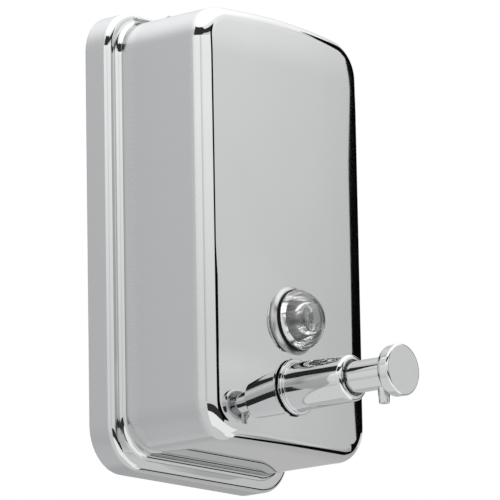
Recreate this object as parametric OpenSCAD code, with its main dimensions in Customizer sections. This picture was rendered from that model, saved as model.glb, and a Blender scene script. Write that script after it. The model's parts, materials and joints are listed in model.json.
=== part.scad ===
// Wall-mounted soap dispenser: a drawn steel tank with a hinged filler lid, a sight glass
// and a push valve. Millimetres, +Z up, the wall is the plane y = 0 and the front faces -Y.

/* [Back rim] */
// Overall width of the rim that meets the wall
rim_w = 121; // [112:1:132]
// Overall height of the rim
rim_h = 206; // [190:1:225]
// Corner radius of the rim's outline
rim_corner_r = 19.5; // [16:0.5:24]
// Distance from the wall to the front of the ledge
ledge_d = 13.4; // [12:0.2:18]
// Rounding between the rim's side and the ledge
rim_edge_r = 1.8; // [1.4:0.1:2]
// Thickness of the steel sheet
sheet_t = 1; // [0.7:0.1:1.2]

/* [Body] */
// Step from the rim's side in to the body's side
side_step = 6; // [5:0.1:9]
// Step from the rim's lower edge up to the body's underside
bottom_step = 7.5; // [5:0.5:11]
// Step from the rim's upper edge down to the crown of the roof
top_step = 3; // [2.8:0.2:5]
// Corner radius of the body's outline
body_corner_r = 17; // [14:0.5:20]
// Rise of the arched roof between the centres of its two corners
arch_rise = 1.5; // [0.8:0.1:1.8]
// Distance from the wall to the front face
front_d = 66; // [62:0.5:80]
// Rounding between the front face and the sides
front_edge_r = 8.5; // [6:0.5:10]

/* [Wall fixing] */
// Thickness of the wall bracket
bracket_t = 1.5; // [1.2:0.1:2]
// Width of the wall bracket
bracket_w = 84; // [76:1:96]
// Height of the wall bracket's plate
bracket_h = 130; // [118:1:140]
// Distance between the wall screws across
hole_pitch_x = 60; // [50:1:64]
// Distance between the wall screws up and down
hole_pitch_z = 100; // [80:1:106]
// Diameter of the wall screw holes
wall_hole = 5.2; // [4.2:0.1:6.2]
// Height of the hooks above the middle of the bracket
hook_rise = 60; // [56:1:64]
// Distance between the two hooks' middles
hook_pitch = 50; // [40:1:56]
// Width of each hook
hook_w = 16; // [10:1:20]
// Height of each hook's upturned lip
hook_lip = 8; // [6:0.5:9]
// Gap between the bracket's plate and the hooks' lips
hook_gap = 3; // [2.4:0.1:3.6]
// Cleat past the hooks at each end
cleat_margin = 5; // [2:1:8]
// Height of the cleat's flange on the back panel
cleat_weld = 13; // [8:1:16]
// Width of the bracket's tab
tab_w = 24; // [16:1:30]
// Diameter of the screw that locks the tank to the bracket
lock_screw_dia = 4; // [3:0.5:5]
// Distance from the wall to that screw
lock_screw_d = 6; // [5:0.2:7]
// Length of that screw under its head
lock_screw_l = 9; // [6:0.5:12]
// Diameter of that screw's head
lock_screw_head = 7.2; // [6.6:0.2:8]
// Height of that screw's head
lock_screw_head_h = 2.2; // [1.6:0.1:2.6]
// Width of the socket in that screw's head
lock_screw_socket = 2.6; // [2:0.1:3]
// Depth of that socket
lock_screw_socket_h = 1.4; // [1:0.1:1.5]

/* [Filler lid] */
// Width of the filler opening
opening_w = 48; // [42:1:56]
// Corner radius of the filler opening
opening_r = 4; // [2:0.5:6]
// Depth of the frame round the opening, below the crown of the roof
frame_h = 5.2; // [4:0.2:7]
// Width of that frame's flange under the roof
frame_land = 4; // [3:0.5:5]
// Roof left between the opening and the front rounding
roof_land = 11.5; // [9:0.5:13]
// Width of the lid's gasket
gasket_land = 3.5; // [3:0.25:4.5]
// Thickness of the lid's gasket
lid_gasket_t = 0.8; // [0.6:0.1:1.2]
// Thickness of the lid
lid_t = 1; // [0.8:0.1:1.4]
// Lid past its gasket at the sides and the front
lid_overhang = 0.5; // [0.3:0.1:1]
// Distance from the ledge to the hinge pin
hinge_setback = 4.1; // [3.9:0.1:5]
// Radius of the hinge knuckles
knuckle_r = 2; // [1.8:0.1:2.3]
// Diameter of the hinge pin
hinge_pin_dia = 2; // [1.6:0.1:2.2]
// Length of the lid's middle knuckle
lid_knuckle_l = 20; // [14:1:24]
// Length of each fixed knuckle
fixed_knuckle_l = 14; // [8:1:16]
// Thickness of the hinge brackets' feet
foot_t = 1.5; // [1:0.1:1.6]

/* [Lid lock] */
// Distance from the lock's axis to the front edge of the opening
lock_setback = 10; // [9:0.5:11]
// Diameter of the lock's barrel
lock_barrel = 11; // [9.5:0.5:12]
// Diameter of the lock's head
lock_head = 14.4; // [13.4:0.2:16]
// Height of the lock's head above the lid
lock_head_h = 1.4; // [1.2:0.1:2]
// Diameter of the turning plug
plug_dia = 7; // [6:0.5:7.5]
// Width of the key slot
key_slot_w = 0.9; // [0.6:0.1:1.4]
// Length of the key slot
key_slot_l = 4.6; // [3.6:0.2:5.4]
// Depth of the key slot below the lock's head
key_slot_h = 2; // [1:0.2:3]
// Width of the plug's square drive
drive_w = 4; // [3.8:0.1:4.2]
// Width across the flats of the lock's nut
lock_nut_af = 14; // [13.2:0.2:15]
// Thickness of the lock's nut
lock_nut_t = 3; // [2:0.5:3.5]
// Reach of the cam from the lock's axis
cam_reach = 14.5; // [13:0.5:16]
// Width of the cam's arm
cam_w = 9; // [7:0.5:10]
// Diameter of the cam's hub
cam_hub = 11; // [10:0.5:12]
// Thickness of the cam
cam_t = 1.5; // [1.2:0.1:2]
// Diameter of the cam's screw
cam_screw_dia = 3; // [2:0.2:3]
// Length of the cam's screw under its head
cam_screw_l = 3.7; // [3:0.1:6]
// Diameter of the cam screw's head
cam_screw_head = 6.4; // [6:0.2:8]
// Height of the cam screw's head
cam_screw_head_h = 1.8; // [1.2:0.2:2.4]
// Width of the socket in the cam screw's head
cam_screw_socket = 3; // [2:0.2:4]
// Depth of that socket
cam_screw_socket_h = 0.9; // [0.6:0.1:1]

/* [Sight glass] */
// Height of the sight glass above the valve
sight_rise = 29.6; // [28:0.2:36]
// Diameter of the sight glass's flange
sight_flange = 26.6; // [25:0.2:29]
// Thickness of the flange's edge
sight_edge_t = 1.3; // [0.8:0.1:1.8]
// Diameter of its threaded shank
sight_shank = 17.8; // [16:0.2:19]
// Length of the shank behind the front face
sight_shank_l = 12; // [10:0.5:14]
// Projection of its domed tip from the front face
sight_tip = 14; // [12:0.5:16]
// Thickness of the tip in front of the hollow
sight_wall = 3; // [2:0.5:4]
// Diameter of the hollow inside it
sight_bore = 12; // [10:0.5:13]
// Thickness of the polished collar behind its gasket
sight_collar_t = 1.9; // [1.4:0.1:2.4]
// Thickness of its black gasket
sight_gasket_t = 1.7; // [1.2:0.1:2.2]
// Width of the gasket past the flange
sight_gasket_lip = 0.3; // [0:0.1:0.6]
// Width of the gasket under the flange
sight_gasket_w = 2.4; // [1.6:0.2:3.2]

/* [Valve] */
// Height of the valve's axis above the rim's lower edge
valve_rise = 35.4; // [33:0.2:45]
// Diameter of the flange against the front
flange_dia = 24.8; // [23:0.2:27]
// Thickness of that flange
flange_t = 1.6; // [1.2:0.1:2.5]
// Thickness of the valve's gasket
valve_gasket_t = 0.8; // [0.5:0.1:1.5]
// Inset of the valve's gasket from the flange's edge
valve_gasket_inset = 1.2; // [0.4:0.1:1.6]
// Diameter of the barrel at the flange
barrel_root = 21.3; // [20.6:0.1:22.5]
// Diameter of the barrel behind its rounded lip
barrel_end = 20.4; // [20:0.1:21]
// Projection of the barrel's mouth from the front face
barrel_l = 33.6; // [30:0.2:40]
// Diameter of the threaded shank inside the tank
shank_dia = 19.2; // [18.6:0.1:20]
// Length of the shank behind the front face
shank_l = 18; // [17:0.5:24]
// Diameter of the pump's bore
bore_dia = 16; // [15.6:0.1:16.4]
// Diameter of the mouth round the stem
mouth_dia = 15.2; // [14.6:0.1:15.4]
// Thickness of the barrel's lip in front of the gland ring
lip_t = 1.7; // [1.2:0.1:2.2]
// Width across the flats of the lock nuts
nut_af = 25; // [23:0.2:26]
// Thickness of the lock nuts
nut_t = 5; // [3:0.5:6]
// Thickness of the washers behind the front face
washer_t = 1; // [0.8:0.1:1.5]
// Diameter of the washers
washer_dia = 24.8; // [22:0.2:26]

/* [Plunger] */
// Diameter of the stem
stem_dia = 14; // [13.4:0.1:14.3]
// Travel of the plunger
stroke = 12; // [8:0.5:14]
// Gap left between the spout and the barrel's mouth when the button is pushed in
spout_stop = 1.2; // [0.8:0.1:2]
// Diameter of the push button
button_dia = 22.6; // [20:0.2:26]
// Thickness of the push button
button_t = 7; // [6:0.2:9]
// Rounding of the button's back edge
button_back_r = 2.6; // [1:0.1:3]
// Rounding of the button's front edge
button_front_r = 1; // [0.5:0.1:1.5]
// Distance from the button's back to the spout
spout_setback = 4; // [3.6:0.1:4.6]
// Diameter of the spout where it leaves the stem
spout_dia = 5.4; // [4.6:0.1:5.6]
// Diameter of the spout at its tip
spout_tip_dia = 4.6; // [4:0.1:4.6]
// Diameter of the hole through the spout
spout_bore = 2.6; // [1.6:0.1:3]
// Distance from the valve's axis down to the spout's tip
spout_drop = 13.4; // [11:0.2:16]
// Depth that the spout goes into the stem
spout_seat = 2.5; // [2:0.1:3]
// Length of the button's spigot in the stem
spigot_l = 2.3; // [1.6:0.1:2.6]
// Length of the gland ring
gland_l = 6; // [4:0.5:7]
// Length of the piston
piston_l = 10.6; // [9.6:0.2:12]
// Piston behind the stem's tail
piston_web = 3; // [2:0.2:4]
// Distance from the piston's back to its seal
seal_setback = 4.2; // [3:0.2:6]
// Diameter of the stem's threaded tail
tail_dia = 10; // [9:0.2:10.4]
// Width of the piston's seal
seal_w = 2.5; // [1.8:0.1:3]
// Depth of the seal's groove
seal_depth = 1.35; // [1:0.05:1.5]

/* [Pump inside] */
// Diameter of the inlet cap
cap_dia = 24; // [23:0.2:26]
// Length of the cap's grip on the shank
cap_grip = 8; // [5:0.5:9]
// Thickness of the cap's floor
cap_floor = 5; // [4:0.5:7]
// Diameter of the upright inlet boss
boss_dia = 11; // [10:0.2:13]
// Distance from the cap's floor to the boss's axis
boss_setback = 4; // [3:0.2:4.4]
// Length of the boss below the valve's axis
boss_drop = 16; // [14:0.5:18]
// Diameter of the two check balls
ball_dia = 5; // [4.6:0.1:5.4]
// Diameter of the inlet ball's chamber
ball_chamber = 5.8; // [5.6:0.1:6.2]
// Diameter of the hole that the inlet ball closes
inlet_seat = 3.6; // [3:0.1:4]
// Distance from the valve's axis down to the inlet seat
inlet_seat_drop = 9; // [8.6:0.2:10]
// Thickness of the inlet seat
inlet_seat_t = 1.5; // [1:0.1:2]
// Lift of the inlet ball
inlet_lift = 2; // [1:0.1:2]
// Room in the boss above the inlet passage
inlet_room = 0.6; // [0.4:0.1:1]
// Thickness of the boss's top
boss_top_t = 2.2; // [1.6:0.2:3]
// Outside diameter of the pickup tube
tube_dia = 7; // [6:0.2:8]
// Wall of the pickup tube
tube_wall = 1.1; // [0.8:0.1:1.4]
// Gap between the pickup tube and the tank's floor
tube_gap = 1.5; // [1:0.5:4]
// Diameter of the stem's passage
passage_dia = 4; // [3:0.1:4.2]
// Diameter of the outlet chamber in the stem
outlet_chamber = 6.4; // [6:0.1:6.8]
// Length of the outlet chamber behind the button
outlet_chamber_l = 19.5; // [17:0.5:20]
// Wire diameter of the return spring
spring_wire = 1.2; // [0.9:0.1:1.4]
// Mean diameter of the return spring
spring_dia = 12.6; // [11.6:0.2:13.2]
// Turns of the return spring
spring_turns = 7; // [5:1:8]
// Wire diameter of the outlet spring
outlet_wire = 0.5; // [0.4:0.05:0.6]
// Mean diameter of the outlet spring
outlet_spring_dia = 4.2; // [3.6:0.1:4.8]
// Turns of the outlet spring
outlet_turns = 6; // [4:1:8]

/* [Fits] */
// Radial clearance of sliding and turning fits
run_gap = 0.05; // [0.02:0.01:0.1]
// Radial clearance of threads and pressed pieces
set_gap = 0.02; // [0.01:0.01:0.04]
// Radial clearance of holes that a screw or a shank passes through
hole_gap = 0.2; // [0.1:0.05:0.3]
// Gap between a resting ball and its seat
ball_seat_gap = 0.05; // [0.02:0.01:0.1]
// Gap between faces that move apart or past each other
face_gap = 0.3; // [0.2:0.05:0.5]
// Extra length of a cut past the face that it leaves
cut = 1; // [0.5:0.5:2]

/* [Hidden] */
$fn = 96;

// Body outline
body_hw = rim_w/2 - side_step;
body_bottom = -rim_h/2 + bottom_step;
roof_z = rim_h/2 - top_step;
corner_x = body_hw - body_corner_r;
low_corner_z = body_bottom + body_corner_r;
arch_centre_r = (pow(corner_x, 2) + pow(arch_rise, 2))/(2*arch_rise);
arch_r = arch_centre_r + body_corner_r;
arch_z = roof_z - arch_r;
arch_half = asin(corner_x/arch_centre_r);
top_corner_z = arch_z + arch_centre_r - arch_rise;
wedge_x = 2*corner_x;
wedge_z = 2*top_corner_z - arch_z;
rim_corner_x = rim_w/2 - rim_corner_r;
rim_corner_z = rim_h/2 - rim_corner_r;

// Depths of the sheet's faces
ledge_back = ledge_d - sheet_t;
panel_back = ledge_back - sheet_t;
front_back = front_d - sheet_t;
front_round_d = front_d - front_edge_r;

// Wall bracket and hanger
hook_lip_d = bracket_t + hook_gap;
hook_out_d = hook_lip_d + bracket_t;
cleat_d = bracket_t + (hook_gap - bracket_t)/2;
cleat_top = hook_rise + hook_lip + 2*bracket_t;
cleat_w = hook_pitch + hook_w + 2*cleat_margin;
tab_top = rim_h/2 - sheet_t - face_gap;
tab_reach = panel_back - bracket_t;

// Lid and hinge
hinge_d = ledge_d + hinge_setback;
hinge_z = roof_z + face_gap + knuckle_r;
opening_back = hinge_d + 2*knuckle_r + gasket_land - face_gap;
opening_front = front_round_d - roof_land;
opening_l = opening_front - opening_back;
opening_d = (opening_front + opening_back)/2;
frame_r = arch_r - sheet_t - face_gap/2;
gasket_r0 = arch_r + face_gap;
lid_r0 = gasket_r0 + lid_gasket_t;
lid_r1 = lid_r0 + lid_t;
lid_under = arch_z + lid_r0;
lid_top = arch_z + lid_r1;
lid_back = opening_back - gasket_land - face_gap;
lid_front = opening_front + gasket_land + lid_overhang;
lid_w = opening_w + 2*(gasket_land + lid_overhang);
foot_front = lid_back - face_gap;
foot_back = ledge_d + face_gap;
fixed_knuckle_x = lid_knuckle_l/2 + face_gap;
hinge_pin_l = 2*(fixed_knuckle_x + fixed_knuckle_l);

// Lid lock
lock_d = opening_front - lock_setback;
lock_top = lid_top + lock_head_h;
lock_bottom = roof_z - frame_h;
cam_top = lock_bottom - face_gap;
cam_bottom = cam_top - cam_t;

// Sight glass
sight_z = -rim_h/2 + valve_rise + sight_rise;
sight_collar_d = front_d + sight_collar_t;
sight_seat = sight_collar_d + sight_gasket_t;
sight_end = front_d + sight_tip;
sight_inner_d = front_d - sight_shank_l;
sight_cap_d = sight_seat + sight_edge_t;
dome_h = sight_end - sight_cap_d;
dome_r = (pow(sight_flange/2, 2) + pow(dome_h, 2))/(2*dome_h);

// Valve
valve_z = -rim_h/2 + valve_rise;
flange_d = front_d + valve_gasket_t;
barrel_d = flange_d + flange_t;
mouth_d = front_d + barrel_l;
lip_r = (barrel_end - mouth_dia)/2;
shank_d = front_d - shank_l;
gland_stop_d = mouth_d - lip_t;
gland_d = gland_stop_d - gland_l;
nut_d = front_back - washer_t - nut_t;

// Plunger
piston_front = gland_d - face_gap;
piston_back = piston_front - piston_l;
tail_d = piston_back + piston_web;
seal_d = piston_back + seal_setback;
spout_d = mouth_d + stroke + spout_stop + spout_dia/2;
button_d = spout_d + spout_setback;
button_front = button_d + button_t;
spigot_d = button_d - spigot_l;
outlet_seat_d = button_d - outlet_chamber_l;

// Inlet and outlet valves
cap_d = shank_d - cap_floor;
boss_d = cap_d - boss_setback;
inlet_seat_z = valve_z - inlet_seat_drop;
inlet_ball_z = inlet_seat_z + ball_height(inlet_seat) + ball_seat_gap;
inlet_top_z = inlet_ball_z + ball_dia/2 + inlet_lift + passage_dia + inlet_room;
boss_top_z = inlet_top_z + boss_top_t;
boss_bottom_z = valve_z - boss_drop;
tube_socket_z = inlet_seat_z - inlet_seat_t;
tube_end_z = body_bottom + sheet_t + tube_gap;
outlet_ball_d = outlet_seat_d + ball_height(passage_dia) + ball_seat_gap;
outlet_spring_d = outlet_ball_d
    + sqrt(pow((ball_dia + outlet_wire)/2 + ball_seat_gap, 2) - pow(outlet_spring_dia/2, 2));

// Sides of a spring's wire, and rings of points in each of its turns
ring_sides = 6;
turn_rings = 8;

// Sides of the discs that the body is drawn over, and of the discs from the roof's middle to a corner
form_sides = 40;
arch_steps = 3;

// Height of a ball's centre above the edge of the hole that it sits in
function ball_height(hole) = sqrt(pow(ball_dia/2, 2) - pow(hole/2, 2));

// Spring points and least gap between neighbouring turns
function spring_point(r, turns, l, i) =
    let(a = 360*i/turn_rings) [r*cos(a), r*sin(a), l*i/(turns*turn_rings)];
function spring_gap(r, turns, l, wire) = min([for (i = [0 : (turns - 1)*turn_rings])
    norm(spring_point(r, turns, l, i) - spring_point(r, turns, l, i + turn_rings))]) - wire;

// Turns the (x, height, depth) drawing space to the part's frame, with depth towards -Y
module face_out() {
    rotate([90, 0, 0]) children();
}

// Puts an upright piece on a point given by depth and height
module stand_at(d, z) {
    translate([0, -d, z]) children();
}

// A quarter of a ring between two radii, filling the quadrant that the signs name
module quarter_ring(r_out, r_in, sx, sy) {
    intersection() {
        difference() {
            circle(r_out);
            circle(r_in);
        }
        translate([sx < 0 ? -2*r_out : 0, sy < 0 ? -2*r_out : 0]) square(2*r_out);
    }
}

// A quarter of a disc, in the quadrant that the signs name
module quarter_disc(r, sx, sy) {
    intersection() {
        circle(r);
        translate([sx < 0 ? -2*r : 0, sy < 0 ? -2*r : 0]) square(2*r);
    }
}

// A straight stretch of a bent sheet, along a side whose outward direction is turned by angle
module run(middle, angle, length) {
    translate(middle) rotate([0, 0, angle]) rotate([90, 0, 0])
        linear_extrude(length, center = true) children();
}

// A round stretch of a bent sheet about an upright centre
module bend(centre, r, start, angle) {
    translate(centre) rotate([0, 0, start]) rotate_extrude(angle = angle, $fn = 180)
        translate([r, 0]) children();
}

// Sweeps a section round the rim's outline
module round_rim() {
    for (s = [0, 180]) rotate([0, 0, s]) {
        run([rim_w/2, 0], 0, 2*rim_corner_z) children();
        run([0, rim_h/2], 90, 2*rim_corner_x) children();
        bend([rim_corner_x, rim_corner_z], rim_corner_r, 0, 90) children();
        bend([-rim_corner_x, rim_corner_z], rim_corner_r, 90, 90) children();
    }
}

// The space above the roof's arch, between the lines from its centre through the corners' centres
module arch_wedge() {
    polygon([[-corner_x, top_corner_z], [corner_x, top_corner_z], [wedge_x, wedge_z], [-wedge_x, wedge_z]]);
}

// The space beside that, at the right corner
module corner_wedge() {
    far_x = wedge_x + rim_w;
    polygon([[corner_x, top_corner_z], [far_x, top_corner_z], [far_x, wedge_z], [wedge_x, wedge_z]]);
}

// A disc from depth d0 to d1 with its front edge rounded
module edged_disc(r, edge_r, d0, d1) {
    translate([0, 0, d0]) cylinder(r = r, h = d1 - d0 - edge_r);
    translate([0, 0, d1 - edge_r]) rotate_extrude() translate([r - edge_r, 0]) quarter_disc(edge_r, 1, 1);
}

// The solid body with its front edge rounded, set in from its outline
module body_form(inset, d0, d1) {
    r = body_corner_r - inset;
    edge_r = front_edge_r - inset;
    hull() {
        for (side = [-1, 1]) translate([side*corner_x, low_corner_z])
            edged_disc(r, edge_r, d0, d1, $fn = form_sides);
        for (i = [-arch_steps : arch_steps]) let(a = arch_half*i/arch_steps)
            translate([arch_centre_r*sin(a), arch_z + arch_centre_r*cos(a)])
                edged_disc(r, edge_r, d0, d1, $fn = form_sides);
    }
}

// A flat plate of the rim's outline, set in from it
module rim_plate(inset, d, t) {
    w = rim_w - 2*inset;
    h = rim_h - 2*inset;
    translate([0, 0, d]) linear_extrude(t) rounded_outline(w, h, rim_corner_r - inset);
}

// A rectangle with round corners
module rounded_outline(w, h, r) {
    square([w, h - 2*r], center = true);
    square([w - 2*r, h], center = true);
    for (sx = [-1, 1], sy = [-1, 1]) translate([sx*(w/2 - r), sy*(h/2 - r)]) quarter_disc(r, sx, sy);
}

// The body's outline, grown by a gap
module body_outline(grow) {
    r = body_corner_r + grow;
    translate([-body_hw - grow, low_corner_z])
        square([2*(body_hw + grow), top_corner_z - low_corner_z]);
    translate([-corner_x, low_corner_z - r]) square([2*corner_x, r]);
    for (side = [-1, 1]) translate([side*corner_x, low_corner_z]) quarter_disc(r, side, -1);
    for (side = [0, 1]) mirror([side, 0]) intersection() {
        translate([corner_x, top_corner_z]) circle(r);
        corner_wedge();
    }
    intersection() {
        translate([0, arch_z]) circle(arch_r + grow, $fn = 720);
        arch_wedge();
    }
}

// The filler opening's outline as an upright block between two heights
module opening_block(grow, z0, z1) {
    stand_at(opening_d, z0) linear_extrude(z1 - z0)
        rounded_outline(opening_w + 2*grow, opening_l + 2*grow, opening_r + grow);
}

// A shell that follows the arched roof between two radii, over a depth range
module roof_shell(r0, r1, d0, d1, w) {
    intersection() {
        translate([-w/2, top_corner_z, d0]) cube([w, rim_h, d1 - d0]);
        translate([0, arch_z, d0 - cut]) difference() {
            cylinder(r = r1, h = d1 - d0 + 2*cut, $fn = 720);
            translate([0, 0, -cut]) cylinder(r = r0, h = d1 - d0 + 4*cut, $fn = 720);
        }
    }
}

// A turned ring about the valve's or the sight glass's axis
module turned_ring(z, r_in, r_out, d0, d1) {
    face_out() translate([0, z, d0]) difference() {
        cylinder(r = r_out, h = d1 - d0);
        translate([0, 0, -cut]) cylinder(r = r_in, h = d1 - d0 + 2*cut);
    }
}

// A hexagon block of a width across its flats, standing on z = 0
module hexagon(across, h) {
    cylinder(r = across/2/cos(30), h = h, $fn = 6);
}

// A hexagon nut with two flats level, about a front-facing axis
module panel_nut(z, r_in, d0) {
    face_out() translate([0, z, d0]) difference() {
        hexagon(nut_af, nut_t);
        translate([0, 0, -cut]) cylinder(r = r_in, h = nut_t + 2*cut);
    }
}

// One unbroken wire wound as a helix along +Z from z = 0 to z = l
module wound_spring(r, turns, l, wire) {
    rings = turns*turn_rings;
    pitch_angle = atan(l/(turns*2*PI*r));
    points = [for (i = [0 : rings]) for (k = [0 : ring_sides - 1])
        let(c = spring_point(r, turns, l, i), a = 360*i/turn_rings, b = 360*k/ring_sides,
            out = [cos(a), sin(a), 0],
            rise = [sin(a)*sin(pitch_angle), -cos(a)*sin(pitch_angle), cos(pitch_angle)])
        c + wire/2*(cos(b)*out + sin(b)*rise)];
    sides = [for (i = [0 : rings - 1]) for (k = [0 : ring_sides - 1])
        let(a = i*ring_sides + k, b = i*ring_sides + (k + 1)%ring_sides)
        each [[a, b, b + ring_sides], [a, b + ring_sides, a + ring_sides]]];
    first = [for (k = [1 : ring_sides - 2]) [0, k + 1, k]];
    base = rings*ring_sides;
    last = [for (k = [1 : ring_sides - 2]) [base, base + k, base + k + 1]];
    polyhedron(points, concat(sides, first, last));
}

// Stepped steel frame round the back: the skirt that meets the wall, and the ledge
module back_rim() {
    color("silver") difference() {
        face_out() {
            round_rim() {
                translate([-sheet_t, 0]) square([sheet_t, ledge_d - rim_edge_r]);
                translate([-rim_edge_r, ledge_d - rim_edge_r])
                    quarter_ring(rim_edge_r, rim_edge_r - sheet_t, 1, 1);
            }
            difference() {
                rim_plate(rim_edge_r, ledge_back, sheet_t);
                translate([0, 0, ledge_back - cut]) linear_extrude(sheet_t + 2*cut) body_outline(set_gap);
            }
        }
        stand_at(lock_screw_d, rim_h/2 - sheet_t - cut)
            cylinder(r = lock_screw_dia/2 + hole_gap, h = sheet_t + 2*cut);
    }
}

// Drawn steel body: walls, front face and arched roof, with the filler opening
module body_shell() {
    color("silver") difference() {
        face_out() difference() {
            body_form(0, ledge_back, front_d);
            body_form(sheet_t, ledge_back - cut, front_back);
        }
        opening_block(0, top_corner_z, rim_h);
        face_out() translate([0, valve_z, front_back - cut])
            cylinder(r = shank_dia/2 + hole_gap, h = sheet_t + 2*cut);
        face_out() translate([0, sight_z, front_back - cut])
            cylinder(r = sight_shank/2 + hole_gap, h = sheet_t + 2*cut);
    }
}

// Angle frame welded under the roof, round the filler opening
module filler_frame() {
    color("silver") difference() {
        union() {
            intersection() {
                opening_block(sheet_t, lock_bottom, rim_h);
                face_out() translate([0, arch_z, opening_back - 2*sheet_t])
                    cylinder(r = frame_r, h = opening_l + 4*sheet_t, $fn = 720);
            }
            intersection() {
                opening_block(frame_land, top_corner_z, rim_h);
                face_out() roof_shell(frame_r - sheet_t, frame_r, opening_back - frame_land - cut,
                    opening_front + frame_land + cut, opening_w + 2*(frame_land + cut));
            }
        }
        opening_block(0, lock_bottom - cut, rim_h);
    }
}

// Flat sheet that closes the tank behind the ledge
module back_panel() {
    color("lightgray") face_out() rim_plate(rim_edge_r + face_gap, panel_back, sheet_t);
}

// Bent strip on the back panel that hangs on the bracket's hooks
module hanger_cleat() {
    color("gray") translate([cleat_w/2, 0, 0]) rotate([0, -90, 0]) linear_extrude(cleat_w)
        polygon([[hook_rise, -cleat_d], [cleat_top, -cleat_d], [cleat_top, bracket_t - panel_back],
            [cleat_top + cleat_weld, bracket_t - panel_back], [cleat_top + cleat_weld, -panel_back],
            [cleat_top - bracket_t, -panel_back], [cleat_top - bracket_t, -cleat_d - bracket_t],
            [hook_rise, -cleat_d - bracket_t]]);
}

// Plate screwed to the wall, with two hooks and the tab for the locking screw
module wall_bracket() {
    color("gray") difference() {
        face_out() {
            translate([-bracket_w/2, -bracket_h/2, 0]) cube([bracket_w, bracket_h, bracket_t]);
            translate([-tab_w/2, 0, 0]) cube([tab_w, tab_top, bracket_t]);
            translate([-tab_w/2, tab_top - bracket_t, 0]) cube([tab_w, bracket_t, tab_reach]);
            for (side = [-1, 1]) translate([side*hook_pitch/2 - hook_w/2, hook_rise - bracket_t, 0]) {
                cube([hook_w, bracket_t, hook_out_d]);
                translate([0, 0, hook_lip_d]) cube([hook_w, bracket_t + hook_lip, bracket_t]);
            }
        }
        face_out() for (sx = [-1, 1], sz = [-1, 1])
            translate([sx*hole_pitch_x/2, sz*hole_pitch_z/2, -cut])
                cylinder(r = wall_hole/2, h = bracket_t + 2*cut);
        stand_at(lock_screw_d, tab_top - bracket_t - cut)
            cylinder(r = lock_screw_dia/2 + set_gap, h = bracket_t + 2*cut);
    }
}

// Screw through the top of the rim into the bracket's tab
module bracket_screw() {
    color("dimgray") stand_at(lock_screw_d, rim_h/2) difference() {
        union() {
            cylinder(r = lock_screw_head/2, h = lock_screw_head_h);
            translate([0, 0, -lock_screw_l]) cylinder(r = lock_screw_dia/2, h = lock_screw_l);
        }
        translate([0, 0, lock_screw_head_h - lock_screw_socket_h])
            hexagon(lock_screw_socket, lock_screw_socket_h + cut);
    }
}

// Two feet on the roof, each with a knuckle for the hinge pin
module hinge_brackets() {
    color("silver") for (side = [-1, 1]) difference() {
        union() {
            face_out() intersection() {
                roof_shell(arch_r, arch_r + foot_t, foot_back, foot_front, hinge_pin_l);
                translate([side > 0 ? fixed_knuckle_x : -fixed_knuckle_x - fixed_knuckle_l, 0, 0])
                    cube([fixed_knuckle_l, rim_h, front_d]);
            }
            knuckle(side > 0 ? fixed_knuckle_x : -fixed_knuckle_x - fixed_knuckle_l, fixed_knuckle_l);
        }
        hinge_bore(set_gap);
    }
}

// A hinge knuckle along X
module knuckle(x, l) {
    translate([x, -hinge_d, hinge_z]) rotate([0, 90, 0]) cylinder(r = knuckle_r, h = l);
}

// The hole for the hinge pin
module hinge_bore(gap) {
    translate([-hinge_pin_l/2 - cut, -hinge_d, hinge_z]) rotate([0, 90, 0])
        cylinder(r = hinge_pin_dia/2 + gap, h = hinge_pin_l + 2*cut);
}

module hinge_pin() {
    color("gray") translate([-hinge_pin_l/2, -hinge_d, hinge_z]) rotate([0, 90, 0])
        cylinder(r = hinge_pin_dia/2, h = hinge_pin_l);
}

// Lid that follows the roof, with its tongue and knuckle
module filler_lid() {
    color("silver") difference() {
        union() {
            face_out() roof_shell(lid_r0, lid_r1, lid_back, lid_front, lid_w);
            face_out() roof_shell(lid_r0, lid_r1, hinge_d, lid_back + cut, lid_knuckle_l);
            knuckle(-lid_knuckle_l/2, lid_knuckle_l);
        }
        hinge_bore(run_gap);
        stand_at(lock_d, lid_under - 2*cut) cylinder(r = lock_barrel/2 + run_gap, h = lid_t + 4*cut);
    }
}

// Rubber frame under the lid
module lid_gasket() {
    color("black") difference() {
        face_out() roof_shell(gasket_r0, lid_r0, opening_back - gasket_land, opening_front + gasket_land,
            opening_w + 2*gasket_land);
        opening_block(0, top_corner_z, rim_h);
    }
}

// Fixed barrel of the lid's lock
module lock_housing() {
    color("silver") stand_at(lock_d, 0) difference() {
        union() {
            translate([0, 0, lock_bottom]) cylinder(r = lock_barrel/2, h = lid_top - lock_bottom);
            translate([0, 0, lid_top]) cylinder(r = lock_head/2, h = lock_head_h);
        }
        translate([0, 0, lock_bottom - cut])
            cylinder(r = plug_dia/2 + run_gap, h = lock_top - lock_bottom + 2*cut);
    }
}

module lock_nut() {
    color("gray") stand_at(lock_d, lid_under - lock_nut_t - face_gap/2) difference() {
        hexagon(lock_nut_af, lock_nut_t);
        translate([0, 0, -cut]) cylinder(r = lock_barrel/2 + set_gap, h = lock_nut_t + 2*cut);
    }
}

// Turning plug with its key slot and square drive
module lock_plug() {
    color("goldenrod") stand_at(lock_d, 0) difference() {
        union() {
            translate([0, 0, lock_bottom])
                cylinder(r = plug_dia/2, h = lock_top - lock_bottom - face_gap);
            translate([-drive_w/2, -drive_w/2, cam_bottom])
                cube([drive_w, drive_w, lock_bottom - cam_bottom]);
        }
        translate([-key_slot_w/2, -key_slot_l/2, lock_top - key_slot_h])
            cube([key_slot_w, key_slot_l, key_slot_h + cut]);
        translate([0, 0, cam_bottom - cut])
            cylinder(r = cam_screw_dia/2 + set_gap, h = cam_screw_l + face_gap + cut);
    }
}

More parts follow.
